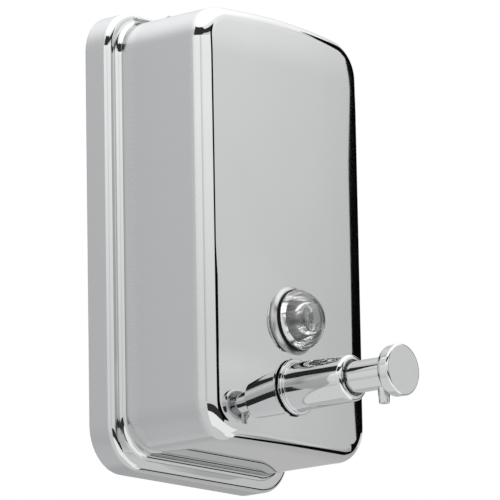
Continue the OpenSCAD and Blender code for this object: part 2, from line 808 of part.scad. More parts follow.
// Cam that turns under the filler frame's front edge
module lock_cam() {
    hole_w = drive_w + 2*run_gap;
    color("gray") stand_at(lock_d, cam_bottom) difference() {
        union() {
            cylinder(r = cam_hub/2, h = cam_t);
            translate([0, -cam_w/2, 0]) cube([cam_reach, cam_w, cam_t]);
        }
        translate([-hole_w/2, -hole_w/2, -cut]) cube([hole_w, hole_w, cam_t + 2*cut]);
    }
}

module cam_screw() {
    color("dimgray") stand_at(lock_d, cam_bottom) difference() {
        union() {
            translate([0, 0, -cam_screw_head_h]) cylinder(r = cam_screw_head/2, h = cam_screw_head_h);
            cylinder(r = cam_screw_dia/2, h = cam_screw_l);
        }
        translate([0, 0, -cam_screw_head_h - cut]) hexagon(cam_screw_socket, cam_screw_socket_h + cut);
    }
}

// Clear moulded plug with a domed front and a hollow that the soap fills
module sight_glass() {
    color("white") face_out() translate([0, sight_z, 0]) rotate_extrude() difference() {
        union() {
            polygon([[0, sight_inner_d], [sight_shank/2, sight_inner_d],
                [sight_shank/2, sight_seat], [sight_flange/2, sight_seat],
                [sight_flange/2, sight_cap_d], [0, sight_cap_d]]);
            intersection() {
                translate([0, sight_end - dome_r]) circle(dome_r);
                translate([0, sight_cap_d]) square([sight_flange/2, dome_h + cut]);
            }
        }
        translate([0, sight_inner_d - cut])
            square([sight_bore/2, sight_end - sight_wall - sight_inner_d + cut]);
    }
}

// Polished ring that the gasket seats on
module sight_collar() {
    color("silver") turned_ring(sight_z, sight_shank/2 + run_gap, sight_flange/2 + sight_gasket_lip,
        front_d, sight_collar_d);
}

module sight_gasket() {
    color("black") turned_ring(sight_z, sight_flange/2 - sight_gasket_w, sight_flange/2 + sight_gasket_lip,
        sight_collar_d, sight_seat);
}

module sight_washer() {
    color("gray") turned_ring(sight_z, sight_shank/2 + run_gap, washer_dia/2,
        front_back - washer_t, front_back);
}

module sight_nut() {
    color("white") panel_nut(sight_z, sight_shank/2 + set_gap, nut_d);
}

module valve_gasket() {
    color("black") turned_ring(valve_z, shank_dia/2 + run_gap, flange_dia/2 - valve_gasket_inset,
        front_d, flange_d);
}

// Chromed barrel with its flange, rounded lip, bore and threaded shank
module valve_barrel() {
    color("lightgray") face_out() translate([0, valve_z, 0]) rotate_extrude() difference() {
        union() {
            polygon([[0, shank_d], [shank_dia/2, shank_d], [shank_dia/2, flange_d],
                [flange_dia/2, flange_d], [flange_dia/2, barrel_d], [barrel_root/2, barrel_d],
                [barrel_end/2, mouth_d - lip_r], [mouth_dia/2, mouth_d - lip_r],
                [mouth_dia/2, mouth_d], [0, mouth_d]]);
            translate([mouth_dia/2, mouth_d - lip_r]) quarter_disc(lip_r, 1, 1);
        }
        translate([0, shank_d - cut]) square([bore_dia/2, gland_stop_d - shank_d + cut]);
        translate([0, shank_d]) square([mouth_dia/2, mouth_d - shank_d + cut]);
    }
}

module valve_washer() {
    color("gray") turned_ring(valve_z, shank_dia/2 + run_gap, washer_dia/2,
        front_back - washer_t, front_back);
}

module valve_nut() {
    color("goldenrod") panel_nut(valve_z, shank_dia/2 + set_gap, nut_d);
}

// Guide and wiper for the stem in the barrel's mouth
module gland_ring() {
    color("white") turned_ring(valve_z, stem_dia/2 + run_gap, bore_dia/2 - set_gap, gland_d, gland_stop_d);
}

// Hollow stem with its threaded tail, outlet chamber and the spout's hole
module pump_stem() {
    color("lightgray") difference() {
        face_out() translate([0, valve_z, 0]) rotate_extrude() polygon([[passage_dia/2, tail_d],
            [tail_dia/2, tail_d], [tail_dia/2, piston_front], [stem_dia/2, piston_front],
            [stem_dia/2, button_d], [outlet_chamber/2, button_d], [outlet_chamber/2, outlet_seat_d],
            [passage_dia/2, outlet_seat_d]]);
        stand_at(spout_d, valve_z - stem_dia) cylinder(r = spout_dia/2 + set_gap, h = stem_dia - cut);
    }
}

// Piston on the stem's tail, with the groove for its seal
module piston() {
    color("white") face_out() translate([0, valve_z, 0]) rotate_extrude() difference() {
        translate([passage_dia/2, piston_back])
            square([bore_dia/2 - run_gap - passage_dia/2, piston_l]);
        translate([0, tail_d]) square([tail_dia/2 + set_gap, piston_l - piston_web + cut]);
        translate([bore_dia/2 - seal_depth, seal_d]) square([seal_depth, seal_w]);
    }
}

module piston_seal() {
    color("black") turned_ring(valve_z, bore_dia/2 - seal_depth + set_gap, bore_dia/2 - run_gap/2,
        seal_d + set_gap, seal_d + seal_w - set_gap);
}

// Spring between the inlet cap's floor and the piston
module return_spring() {
    inset = spring_wire/2 + 2*set_gap;
    l = piston_back - shank_d - 2*inset;
    echo(return_spring_least_gap = spring_gap(spring_dia/2, spring_turns, l, spring_wire));
    color("silver") face_out() translate([0, valve_z, shank_d + inset])
        wound_spring(spring_dia/2, spring_turns, l, spring_wire);
}

// Cap on the shank's inner end, with the upright inlet boss
module inlet_cap() {
    color("white") difference() {
        union() {
            face_out() translate([0, valve_z, cap_d]) cylinder(r = cap_dia/2, h = cap_floor + cap_grip);
            stand_at(boss_d, boss_bottom_z) cylinder(r = boss_dia/2, h = boss_top_z - boss_bottom_z);
        }
        face_out() translate([0, valve_z, shank_d]) cylinder(r = shank_dia/2 + set_gap, h = cap_grip + cut);
        face_out() translate([0, inlet_top_z - (passage_dia + inlet_room)/2, boss_d])
            cylinder(r = passage_dia/2, h = shank_d - boss_d + cut);
        stand_at(boss_d, inlet_seat_z) cylinder(r = ball_chamber/2, h = inlet_top_z - inlet_seat_z);
        stand_at(boss_d, tube_socket_z - cut) cylinder(r = inlet_seat/2, h = inlet_seat_t + 2*cut);
        stand_at(boss_d, boss_bottom_z - cut)
            cylinder(r = tube_dia/2 + set_gap, h = tube_socket_z - boss_bottom_z + cut);
    }
}

module inlet_ball() {
    color("silver") stand_at(boss_d, inlet_ball_z) sphere(r = ball_dia/2);
}

module pickup_tube() {
    color("white") stand_at(boss_d, tube_end_z) difference() {
        cylinder(r = tube_dia/2, h = tube_socket_z - tube_end_z);
        translate([0, 0, -cut]) cylinder(r = tube_dia/2 - tube_wall, h = tube_socket_z - tube_end_z + 2*cut);
    }
}

module outlet_ball() {
    color("silver") stand_at(outlet_ball_d, valve_z) sphere(r = ball_dia/2);
}

// Light spring that holds the outlet ball on its seat
module outlet_spring() {
    l = spigot_d - outlet_wire/2 - 2*set_gap - outlet_spring_d;
    echo(outlet_spring_least_gap = spring_gap(outlet_spring_dia/2, outlet_turns, l, outlet_wire));
    color("silver") face_out() translate([0, valve_z, outlet_spring_d])
        wound_spring(outlet_spring_dia/2, outlet_turns, l, outlet_wire);
}

// Push button with round edges and the spigot that closes the stem
module push_button() {
    r = button_dia/2;
    color("lightgray") face_out() translate([0, valve_z, 0]) rotate_extrude() union() {
        translate([0, spigot_d]) square([outlet_chamber/2 - set_gap, spigot_l]);
        translate([0, button_d]) square([r - button_back_r, button_t]);
        translate([r - button_back_r, button_d + button_back_r])
            square([button_back_r - button_front_r, button_t - button_back_r]);
        translate([r - button_front_r, button_d + button_back_r])
            square([button_front_r, button_t - button_back_r - button_front_r]);
        translate([r - button_back_r, button_d + button_back_r]) quarter_disc(button_back_r, 1, -1);
        translate([r - button_front_r, button_front - button_front_r]) quarter_disc(button_front_r, 1, 1);
    }
}

// Tapered nozzle under the stem
module spout_nozzle() {
    stem_bottom = valve_z - stem_dia/2;
    color("lightgray") stand_at(spout_d, 0) difference() {
        union() {
            translate([0, 0, stem_bottom]) cylinder(r = spout_dia/2, h = spout_seat);
            translate([0, 0, valve_z - spout_drop])
                cylinder(r1 = spout_tip_dia/2, r2 = spout_dia/2, h = spout_drop - stem_dia/2);
        }
        translate([0, 0, valve_z - spout_drop - cut]) cylinder(r = spout_bore/2, h = spout_drop);
    }
}

body_shell();
filler_frame();
back_rim();
back_panel();
hanger_cleat();
wall_bracket();
bracket_screw();
hinge_brackets();
hinge_pin();
filler_lid();
lid_gasket();
lock_housing();
lock_nut();
lock_plug();
lock_cam();
cam_screw();
sight_glass();
sight_collar();
sight_gasket();
sight_washer();
sight_nut();
valve_gasket();
valve_barrel();
valve_washer();
valve_nut();
gland_ring();
pump_stem();
piston();
piston_seal();
return_spring();
inlet_cap();
inlet_ball();
pickup_tube();
outlet_ball();
outlet_spring();
push_button();
spout_nozzle();
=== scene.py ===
"""Wall soap dispenser: steel tank, sight glass and push valve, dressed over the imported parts."""
import json
import math

import bmesh
import bpy
import numpy as np
from mathutils import Matrix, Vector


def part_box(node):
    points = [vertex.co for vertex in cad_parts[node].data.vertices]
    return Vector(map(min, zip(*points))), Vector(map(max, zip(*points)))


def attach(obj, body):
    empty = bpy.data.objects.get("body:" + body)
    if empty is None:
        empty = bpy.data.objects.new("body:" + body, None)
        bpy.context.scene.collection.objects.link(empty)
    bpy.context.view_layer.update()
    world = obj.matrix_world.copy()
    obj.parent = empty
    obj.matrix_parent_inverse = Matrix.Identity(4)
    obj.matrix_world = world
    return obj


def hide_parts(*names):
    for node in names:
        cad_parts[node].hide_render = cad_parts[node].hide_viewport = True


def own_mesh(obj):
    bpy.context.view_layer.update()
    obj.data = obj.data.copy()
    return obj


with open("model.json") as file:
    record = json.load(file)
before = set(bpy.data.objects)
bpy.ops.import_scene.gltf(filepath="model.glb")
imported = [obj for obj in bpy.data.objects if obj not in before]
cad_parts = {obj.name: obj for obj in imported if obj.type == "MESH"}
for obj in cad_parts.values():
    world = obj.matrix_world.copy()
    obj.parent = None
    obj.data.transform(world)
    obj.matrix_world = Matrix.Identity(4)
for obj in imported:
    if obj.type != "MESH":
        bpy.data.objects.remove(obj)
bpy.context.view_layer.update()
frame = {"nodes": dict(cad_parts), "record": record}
MM = 0.001

# Sizes are in millimetres: D is a depth from the wall, Z a height from the rim's middle and R a radius

# Back rim: half width, half height and corner, then the ledge, its rounded edge and the sheet
RIM_HALF_W, RIM_HALF_H, RIM_CORNER = 60.5, 103.0, 19.5
LEDGE_D, RIM_EDGE, SHEET = 13.4, 2.7, 1.0

# Body: half width, bottom, roof and corner, then the rise of the roof's arch and what follows from it
BODY_HALF_W, BODY_LOW, ROOF_Z, BODY_CORNER = 54.5, -95.5, 99.6, 17.0
ARCH_RISE = 1.5
CORNER_X = BODY_HALF_W - BODY_CORNER
ARCH_CENTRE_R = (CORNER_X**2 + ARCH_RISE**2)/(2*ARCH_RISE)
ARCH_R = ARCH_CENTRE_R + BODY_CORNER
ARCH_Z = ROOF_Z - ARCH_R
ARCH_HALF = math.asin(CORNER_X/ARCH_CENTRE_R)

# Front: depth of its middle, then how far it falls back at its sides and, above a height, near the top
FRONT_D, FRONT_CROWN, CROWN_HALF_W = 66.0, 2.0, 47.0
TOP_LEAN, TOP_LEAN_Z, TOP_LEAN_SPAN = 0.8, 74.0, 20.0

# Roundings of the body: front edge at the sides, the top and the bottom, and the hollow at the root
FRONT_EDGE, TOP_EDGE, LOW_EDGE, ROOT = 6.2, 6.8, 7.6, 2.6

# Satin finish and painted shade of the walls: share at the root, depth where it is full, and where and how
# fast it ends
SATIN_ROOT, SATIN_FULL_D, SATIN_END, SATIN_FADE = 0.3, 24.0, 55.2, 3.6
# It ends on the underside too: how far a normal points to the side or up where it starts, and the span
SATIN_TILT, SATIN_TILT_SPAN = 0.25, 0.4

# Rows of the body that only hold the mesh: start of the straight wall past the root, its last even row,
# and the least length of the fading stretch
WALL_LEAD, WALL_LAST_D, FADE_LEAST = 0.3, 50.5, 0.8
# Faces above this height belong to the roof, and faces this close to the front's depth to the front
ROOF_SIDE_Z, FRONT_ZONE = 90.0, 4.0

# Filler opening: half width, depths of its back and front edges, corner radius, frame's lower edge
FILL_HALF_W, FILL_BACK, FILL_FRONT, FILL_CORNER, FRAME_Z = 24.0, 24.7, 46.0, 4.0, 94.8

# Fittings on the front: heights of their axes, and radii of the holes under them
SIGHT_Z, VALVE_Z = -38.0, -67.6
SIGHT_HOLE_R, VALVE_HOLE_R = 9.0, 9.9

# Sight glass: radii of its hollow, of the step in the hollow's end, of its shank, flange and dome,
# then depths of its inner end, the flange's two edges, the hollow's end, the step's end and the tip
HOLLOW_R, STEP_R, SIGHT_SHANK_R, SIGHT_R, DOME_R = 6.0, 3.5, 8.9, 13.3, 14.27
SIGHT_BACK_D, SIGHT_SEAT_D, SIGHT_EDGE_D = 54.0, 69.6, 70.9
HOLLOW_D, STEP_D, SIGHT_TIP_D = 77.0, 78.0, 80.0

# Collar under the gasket: radii of its hole, its neck and the hollow arc of its side, that arc's angle,
# then depths of its back and face, and the thickness of its foot
COLLAR_HOLE_R, COLLAR_R, COLLAR_ARC_R, COLLAR_ARC = 9.05, 13.5, 2.7, math.radians(78)
COLLAR_BACK_D, COLLAR_D, COLLAR_FOOT = 65.7, 67.95, 0.1

# Black ring between collar and flange: radii of its hole and edge, then depths of its back and face
RING_HOLE_R, RING_R, RING_BACK_D, RING_D = 10.9, 13.6, 67.92, 69.58

# Valve's barrel: radii of its shank, flange, taper at both ends, mouth, mouth's hole and bore,
# then depths of its inner end, the flange's back and face, the taper's end, the bore's end and the mouth
SHANK_R, FLANGE_R, TAPER_R, TAPER_END_R = 9.6, 12.4, 10.75, 10.25
MOUTH_R, MOUTH_HOLE_R, BORE_R = 10.2, 7.6, 8.0
BARREL_BACK_D, FLANGE_BACK_D, FLANGE_D = 48.0, 66.8, 68.4
TAPER_END_D, BORE_END_D, MOUTH_D = 96.4, 97.9, 99.6

# Stem: radii of its tail, its body, the narrow passage and the hollow,
# then depths of its inner end, the tail's end, the passage's end and its outer end
TAIL_R, STEM_R, PASSAGE_R, STEM_HOLLOW_R = 5.0, 7.0, 2.0, 3.22
STEM_BACK_D, TAIL_END_D, PASSAGE_END_D, STEM_END_D = 84.0, 91.6, 100.0, 119.48

# Button: radii of its spigot and edge, roundings of its back and face,
# then depths of the spigot's end, the back and the face
SPIGOT_R, BUTTON_R, BACK_ROUND, FACE_ROUND = 3.18, 11.3, 2.6, 1.0
SPIGOT_D, BUTTON_BACK_D, BUTTON_D = 117.2, 119.5, 126.5

# Spout: depth of its axis, radii of its bore, its top and its tip, then heights of top, taper and tip
SPOUT_D, SPOUT_BORE_R, SPOUT_R, SPOUT_TIP_R = 115.5, 1.3, 2.7, 2.3
SPOUT_TOP_Z, SPOUT_TAPER_Z, SPOUT_TIP_Z = -72.2, -75.0, -81.0

# Springs: radius of the coil, number of turns and wire, and the ends of the return spring's wire
RETURN_R, RETURN_TURNS, RETURN_WIRE = 6.3, 7, 1.2
RETURN_START_D, RETURN_END_D = 48.66, 80.34
OUTLET_R, OUTLET_TURNS, OUTLET_WIRE = 2.1, 6, 0.5

# Slopes of the front beside the fittings, where their nuts pull the sheet out of true
LEAN_ACROSS, LEAN_UP = 0.09, 0.12
# Stretches over which those slopes come and go, in metres: across, far from and close beside the fittings,
# and upright, above the sight glass, at the valve's top, and from below the valve to its top
FAR_SPAN, CLOSE_SPAN = (-0.036, -0.002), (-0.0145, -0.006)
SIGHT_SPAN, VALVE_SPAN, RISE_SPAN = (-0.024, -0.010), (-0.064, -0.054), (-0.102, -0.058)
# How squarely a normal faces the front where the slopes are full, and where they end
FACING_SPAN = (-0.99, -0.96)

# Studio: light of the room on dull surfaces, the floor's level in reflections, its half width and height
ROOM_LIGHT, FLOOR_SEEN, FLOOR_HALF, FLOOR_Z = 0.65, 0.95, 4000.0, -900.0
# Key lamp: watts, then its width and place in metres, and its tilt and turn in degrees
KEY_POWER, KEY_WIDTH, KEY_PLACE, KEY_TILT, KEY_TURN = 9, 1.2, (-0.6, -1.2, 1.1), 48, -27

# Camera fitted to the photo: directions to its right, up and back, its place in metres, then its focal
# length and the picture's width in pixels, the sensor's width, and how far it sees in metres
CAMERA_RIGHT, CAMERA_UP = (0.6416, -0.7669, -0.0177), (-0.1502, -0.1482, 0.9775)
CAMERA_BACK, CAMERA_PLACE = (-0.7522, -0.6245, -0.2103), (-1.5458, -1.3255, -0.4347)
FOCAL_PIXELS, PICTURE_PIXELS, SENSOR_W, VIEW_END = 4647.5, 500, 36, 20

# Fineness of the meshes: points along an outline's side, corner, roof and each end of the roof,
# points round a turned piece and round the spout, steps in a coil's turn, and points round its wire
SIDE_POINTS, TURN_POINTS, ROOF_POINTS, ROOF_END_POINTS = 100, 24, 54, 9
TURNED_POINTS, SPOUT_POINTS, COIL_STEPS, WIRE_POINTS = 128, 64, 40, 12
# Steps along a studio card and across it, and the angle past which an edge is shown sharp, in degrees
CARD_STEPS, CARD_WIDE, SHARP_ANGLE = 60, 17, 35


def outline(half_w, low, high, corner, arch_half=0.0):
    """Points and outward normals round a rectangle with round corners and a roof that is a shallow arc.

    Each side is a straight line or an arc, and each corner a circle's arc, so a point moved along its
    normal stays on the same outline grown or shrunk.
    """
    side, turn, roof, roof_end = SIDE_POINTS, TURN_POINTS, ROOF_POINTS, ROOF_END_POINTS
    cx, low_z = half_w - corner, low + corner
    if arch_half:
        centre_r = cx/math.sin(arch_half)
        roof_centre, roof_r = high - centre_r - corner, centre_r + corner
        high_z = roof_centre + centre_r*math.cos(arch_half)
        fill = math.asin(FILL_HALF_W/roof_r)
        stops = [0, roof_end, roof - roof_end, roof]
        a = np.pi/2 - np.interp(np.arange(roof), stops, [arch_half, fill, -fill, -arch_half])
        top = np.stack([roof_r*np.cos(a), roof_centre + roof_r*np.sin(a)], 1)
        top_n = np.stack([np.cos(a), np.sin(a)], 1)
    else:
        high_z = high - corner
        x = np.linspace(cx, -cx, roof, endpoint=False)
        top = np.stack([x, np.full(roof, high)], 1)
        top_n = np.tile([0.0, 1.0], (roof, 1))
    z = np.linspace(low_z, high_z, side, endpoint=False)
    x = np.linspace(-cx, cx, roof, endpoint=False)

    def arc(x0, z0, start, end):
        """A corner's points and normals between two angles."""
        a = np.linspace(start, end, turn, endpoint=False)
        n = np.stack([np.cos(a), np.sin(a)], 1)
        return np.array([x0, z0]) + corner*n, n

    right = np.stack([np.full(side, half_w), z], 1)
    left = np.stack([np.full(side, -half_w), low_z + high_z - z], 1)
    bottom = np.stack([x, np.full(roof, low)], 1)
    pieces = [
        (right, np.tile([1.0, 0.0], (side, 1))),
        arc(cx, high_z, 0, np.pi/2 - arch_half),
        (top, top_n),
        arc(-cx, high_z, np.pi/2 + arch_half, np.pi),
        (left, np.tile([-1.0, 0.0], (side, 1))),
        arc(-cx, low_z, np.pi, 1.5*np.pi),
        (bottom, np.tile([0.0, -1.0], (roof, 1))),
        arc(cx, low_z, 1.5*np.pi, 2*np.pi),
    ]
    return np.concatenate([p for p, _ in pieces]), np.concatenate([n for _, n in pieces])


def grid_faces(rows, columns, wrap_rows=False):
    """Quads of a grid that is closed round its columns, and round its rows too where that is asked."""
    k = np.arange(rows if wrap_rows else rows - 1)[:, None]
    j = np.arange(columns)[None, :]
    up, on = (k + 1) % rows, (j + 1) % columns
    quads = np.stack([k*columns + j, k*columns + on, up*columns + on, up*columns + j], -1)
    return quads.reshape(-1, 4)


def fan(ring, tip):
    """Triangles from a closed ring of point numbers to the number of one more point."""
    return np.stack([ring, np.roll(ring, -1), np.full(len(ring), tip)], 1)


def linked(name, data):
    """A new object in the scene that shows the given data."""
    obj = bpy.data.objects.new(name, data)
    bpy.context.scene.collection.objects.link(obj)
    return obj


def mesh_object(name, points, faces, attributes=None, outward=False):
    """A smooth-shaded object from points in millimetres, without the points that no face uses."""
    used, index = np.unique(np.concatenate([f.ravel() for f in faces]), return_inverse=True)
    sizes = [f.size for f in faces]
    parts = np.split(index, np.cumsum(sizes)[:-1])
    lists = [row for part, f in zip(parts, faces) for row in part.reshape(f.shape).tolist()]
    mesh = bpy.data.meshes.new(name)
    mesh.from_pydata((points[used]*MM).tolist(), [], lists)
    for key, values in (attributes or {}).items():
        layer = mesh.attributes.new(key, "FLOAT", "POINT")
        layer.data.foreach_set("value", values[used].astype(np.float32))
    if outward:
        work = bmesh.new()
        work.from_mesh(mesh)
        bmesh.ops.recalc_face_normals(work, faces=work.faces)
        work.to_mesh(mesh)
        work.free()
    mesh.shade_smooth()
    mesh.set_sharp_from_angle(angle=math.radians(SHARP_ANGLE))
    return linked(name, mesh)


def finish_piece(obj, body, finish, node):
    """Gives a piece its finish and its body, and hides the node that it stands for."""
    obj.data.materials.append(finish)
    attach(obj, body)
    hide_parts(node)


def thicken(obj, thickness):
    """Adds the sheet's thickness on the inside of a skin."""
    wall = obj.modifiers.new("sheet", "SOLIDIFY")
    wall.thickness = thickness*MM
    wall.offset = -1
    return obj


def front(points):
    """Depth of the front face: a shallow parabola across its width, and a slight lean back near the top."""
    x, z = points[:, 0], points[:, 1]
    across = FRONT_CROWN*(x/CROWN_HALF_W)**2
    return FRONT_D - across - TOP_LEAN*np.clip((z - TOP_LEAN_Z)/TOP_LEAN_SPAN, 0, None)**2


def quarter(n):
    """Cosines and sines of a quarter turn."""
    a = np.linspace(0, np.pi/2, n)
    return np.cos(a), np.sin(a)


def add_row(rows, satin, points, depth, finish):
    """Puts an outline's points at a depth on the list of rows, and their share of satin on its own list."""
    even = np.ones(len(points))
    rows.append(np.stack([points[:, 0], -depth*even, points[:, 1]], 1))
    satin.append(finish*even)


def body_skin():
    """The tank's outside as one grid, rows from the ledge to the middle of the front.

    Rows are the outline moved along its normals: a hollow quarter circle at the root, straight walls, a
    quarter circle at the front edge, and the front, whose points shrink towards its middle. The front
    edge's radius grows from the sides to the top and the bottom, with the square of the normal's rise.
    Faces in the filler opening and under the two fittings are left out.
    """
    base, normal = outline(BODY_HALF_W, BODY_LOW, ROOF_Z, BODY_CORNER, ARCH_HALF)
    rows, satin = [], []
    wall_start = LEDGE_D + ROOT
    c, s = quarter(13)
    for grow, rise in zip(ROOT*(1 - s), ROOT*(1 - c)):
        add_row(rows, satin, base + grow*normal, LEDGE_D + rise, 0.0)
    straight = np.concatenate([np.linspace(wall_start + WALL_LEAD, FILL_BACK, 7),
                               np.linspace(FILL_BACK, FILL_FRONT, 13)[1:], [WALL_LAST_D]])
    for depth in straight:
        finish = np.interp(depth, [wall_start, SATIN_FULL_D], [SATIN_ROOT, 1.0])
        add_row(rows, satin, base, depth, finish)
    tilt = normal[:, 1]
    radius = FRONT_EDGE + np.where(tilt > 0, TOP_EDGE - FRONT_EDGE, LOW_EDGE - FRONT_EDGE)*tilt**2
    edge = base - radius[:, None]*normal
    wall_end = front(base) - radius
    fade_start = np.minimum(SATIN_END, wall_end - FADE_LEAST)
    for share in (0.0, 0.5, 0.9):
        depth = fade_start + share*(wall_end - fade_start)
        add_row(rows, satin, base, depth, np.clip(1 - (depth - SATIN_END)/SATIN_FADE, 0, 1))
    for turn in np.linspace(0, np.pi/2, 29):
        points = base - (radius*(1 - math.cos(turn)))[:, None]*normal
        finish = np.clip(1 - (wall_end - SATIN_END + radius*turn)/SATIN_FADE, 0, 1)
        add_row(rows, satin, points, front(points) - radius*(1 - math.sin(turn)), finish)
    for share in np.concatenate([[0.994], np.linspace(0.98, 0.02, 49)]):
        points = edge*share
        add_row(rows, satin, points, front(points), 0.0)
    columns = len(base)
    points = np.concatenate(rows + [np.array([[0.0, -FRONT_D, 0.0]])])
    finish = np.concatenate(satin + [np.zeros(1)])
    aside = np.maximum(np.abs(normal[:, 0]), normal[:, 1])
    finish[:-1] *= np.tile(np.clip((aside - SATIN_TILT)/SATIN_TILT_SPAN, 0, 1), len(rows))
    quads = grid_faces(len(rows), columns)
    corner = points[quads]
    middle = corner.mean(1)
    drop = ((middle[:, 2] > ROOF_SIDE_Z) & (np.abs(middle[:, 0]) < FILL_HALF_W)
            & (-middle[:, 1] > FILL_BACK) & (-middle[:, 1] < FILL_FRONT))
    for height, hole_r in ((SIGHT_Z, SIGHT_HOLE_R), (VALVE_Z, VALVE_HOLE_R)):
        reach = np.hypot(corner[:, :, 0], corner[:, :, 2] - height).min(1)
        drop |= (reach < hole_r) & (middle[:, 1] < FRONT_ZONE - FRONT_D)
    last = (len(rows) - 1)*columns + np.arange(columns)
    return mesh_object("tank_skin", points, [quads[~drop], fan(last, len(points) - 1)], {"satin": finish})


def rim_skin():
    """The back rim's outside as one grid, from the wall over the rounded edge and along the ledge.

    The skirt and its quarter circle follow the rim's outline, and the ledge runs straight from there to
    the body's outline, point by point.
    """
    base, normal = outline(RIM_HALF_W, -RIM_HALF_H, RIM_HALF_H, RIM_CORNER)
    inner, inner_n = outline(BODY_HALF_W, BODY_LOW, ROOF_Z, BODY_CORNER, ARCH_HALF)
    seam = 0.02
    target = inner + (ROOT + seam)*inner_n
    rows, satin = [], []
    for depth in (0.0, 0.3, 4.0, 8.0, LEDGE_D - RIM_EDGE - 0.3):
        add_row(rows, satin, base, depth, 1.0)
    c, s = quarter(17)
    for inset, drop in zip(RIM_EDGE*(1 - c), RIM_EDGE*(1 - s)):
        add_row(rows, satin, base - inset*normal, LEDGE_D - drop, 0.0)
    edge = base - RIM_EDGE*normal
    for share in (0.06, 0.35, 0.65, 0.94, 1.0):
        add_row(rows, satin, edge + share*(target - edge), LEDGE_D, 0.0)
    return mesh_object("rim_skin", np.concatenate(rows), [grid_faces(len(rows), len(base))],
                       {"satin": np.concatenate(satin)})


def eased(corners, n=7):
    """A closed profile with each corner rounded: a parabola between points at the given distance from it.

    A corner is its two coordinates and that distance. A point just past each end keeps the straight
    stretches flat in the shading.
    """
    past = 0.12
    p = np.array([c[:2] for c in corners], float)
    reach = np.array([c[2] for c in corners], float)[:, None]
    before = np.roll(p, 1, 0) - p
    after = np.roll(p, -1, 0) - p
    before /= np.linalg.norm(before, axis=1, keepdims=True)
    after /= np.linalg.norm(after, axis=1, keepdims=True)
    start, end = p + reach*before, p + reach*after
    t = np.linspace(0, 1, n)[None, :, None]
    arc = (1 - t)**2*start[:, None] + 2*t*(1 - t)*p[:, None] + t**2*end[:, None]
    lead = (start + past*reach*before)[:, None]
    tail = (end + past*reach*after)[:, None]
    return np.concatenate([lead, arc, tail], 1).reshape(-1, 2)


def carried_round(profile, height):
    """Points of a profile of radius and depth, carried round a front-facing axis at a height."""
    a = np.linspace(0, 2*np.pi, TURNED_POINTS, endpoint=False)
    r, d = profile[:, 0][:, None], profile[:, 1][:, None]
    return np.stack([r*np.cos(a), -d*np.ones_like(a), height + r*np.sin(a)], -1).reshape(-1, 3)


def turned(name, profile, height):
    """A closed profile of radius and depth, turned about a front-facing axis at a height."""
    return mesh_object(name, carried_round(profile, height),
                       [grid_faces(len(profile), TURNED_POINTS, True)], outward=True)


def solid_turned(name, profile, height):
    """An open profile turned about a front-facing axis, and closed with a point at each end.

    The profile starts and ends on the axis.
    """
    points = carried_round(profile[1:-1], height)
    ends = np.array([[0, -profile[0, 1], height], [0, -profile[-1, 1], height]])
    count = len(points)
    ring = np.arange(TURNED_POINTS)
    faces = [grid_faces(len(profile) - 2, TURNED_POINTS), fan(ring, count),
             fan(count - TURNED_POINTS + ring, count + 1)]
    return mesh_object(name, np.concatenate([points, ends]), faces, outward=True)


def barrel():
    """Chromed barrel: shank, flange, slight taper, bead at the mouth, and the bore inside."""
    return turned("barrel", eased([
        (SHANK_R, BARREL_BACK_D, 0.3), (SHANK_R, FLANGE_BACK_D, 0.1), (FLANGE_R, FLANGE_BACK_D, 0.35),
        (FLANGE_R, FLANGE_D, 0.5), (TAPER_R, FLANGE_D, 0.4), (TAPER_END_R, TAPER_END_D, 0.3),
        (MOUTH_R, MOUTH_D, 2.2), (MOUTH_HOLE_R, MOUTH_D, 0.6), (MOUTH_HOLE_R, BORE_END_D, 0.05),
        (BORE_R, BORE_END_D, 0.05), (BORE_R, BARREL_BACK_D, 0.2)], 9), VALVE_Z)


def stem():
    """Chromed stem with its thin tail and the hollow inside."""
    return turned("stem", eased([
        (PASSAGE_R, STEM_BACK_D, 0.2), (TAIL_R, STEM_BACK_D, 0.3), (TAIL_R, TAIL_END_D, 0.1),
        (STEM_R, TAIL_END_D, 0.4), (STEM_R, STEM_END_D, 0.05), (STEM_HOLLOW_R, STEM_END_D, 0.05),
        (STEM_HOLLOW_R, PASSAGE_END_D, 0.1), (PASSAGE_R, PASSAGE_END_D, 0.1)]), VALVE_Z)


def button():
    """Push button: spigot, round back edge, short cylinder, round front edge and a flat face.

    Both round edges are quarter circles. A point just before and after each keeps the shading flat there.
    """
    lead, flat = 0.1, 0.3
    back_r, face_r = BUTTON_R - BACK_ROUND, BUTTON_R - FACE_ROUND
    spigot = [(0.0, SPIGOT_D), (SPIGOT_R - 0.28, SPIGOT_D), (SPIGOT_R, SPIGOT_D + flat),
              (SPIGOT_R, BUTTON_BACK_D), (back_r - lead, BUTTON_BACK_D)]
    c, s = quarter(13)
    back = np.stack([back_r + BACK_ROUND*s, BUTTON_BACK_D + BACK_ROUND*(1 - c)], 1)
    wall = [(BUTTON_R, BUTTON_BACK_D + BACK_ROUND + flat), (BUTTON_R, BUTTON_D - FACE_ROUND - flat)]
    c, s = quarter(11)
    edge = np.stack([face_r + FACE_ROUND*c, BUTTON_D - FACE_ROUND + FACE_ROUND*s], 1)
    face = [(r, BUTTON_D) for r in (face_r - 2*lead, 6.0, 0.2, 0.0)]
    return solid_turned("button", np.concatenate([spigot, back, wall, edge, face]), VALVE_Z)


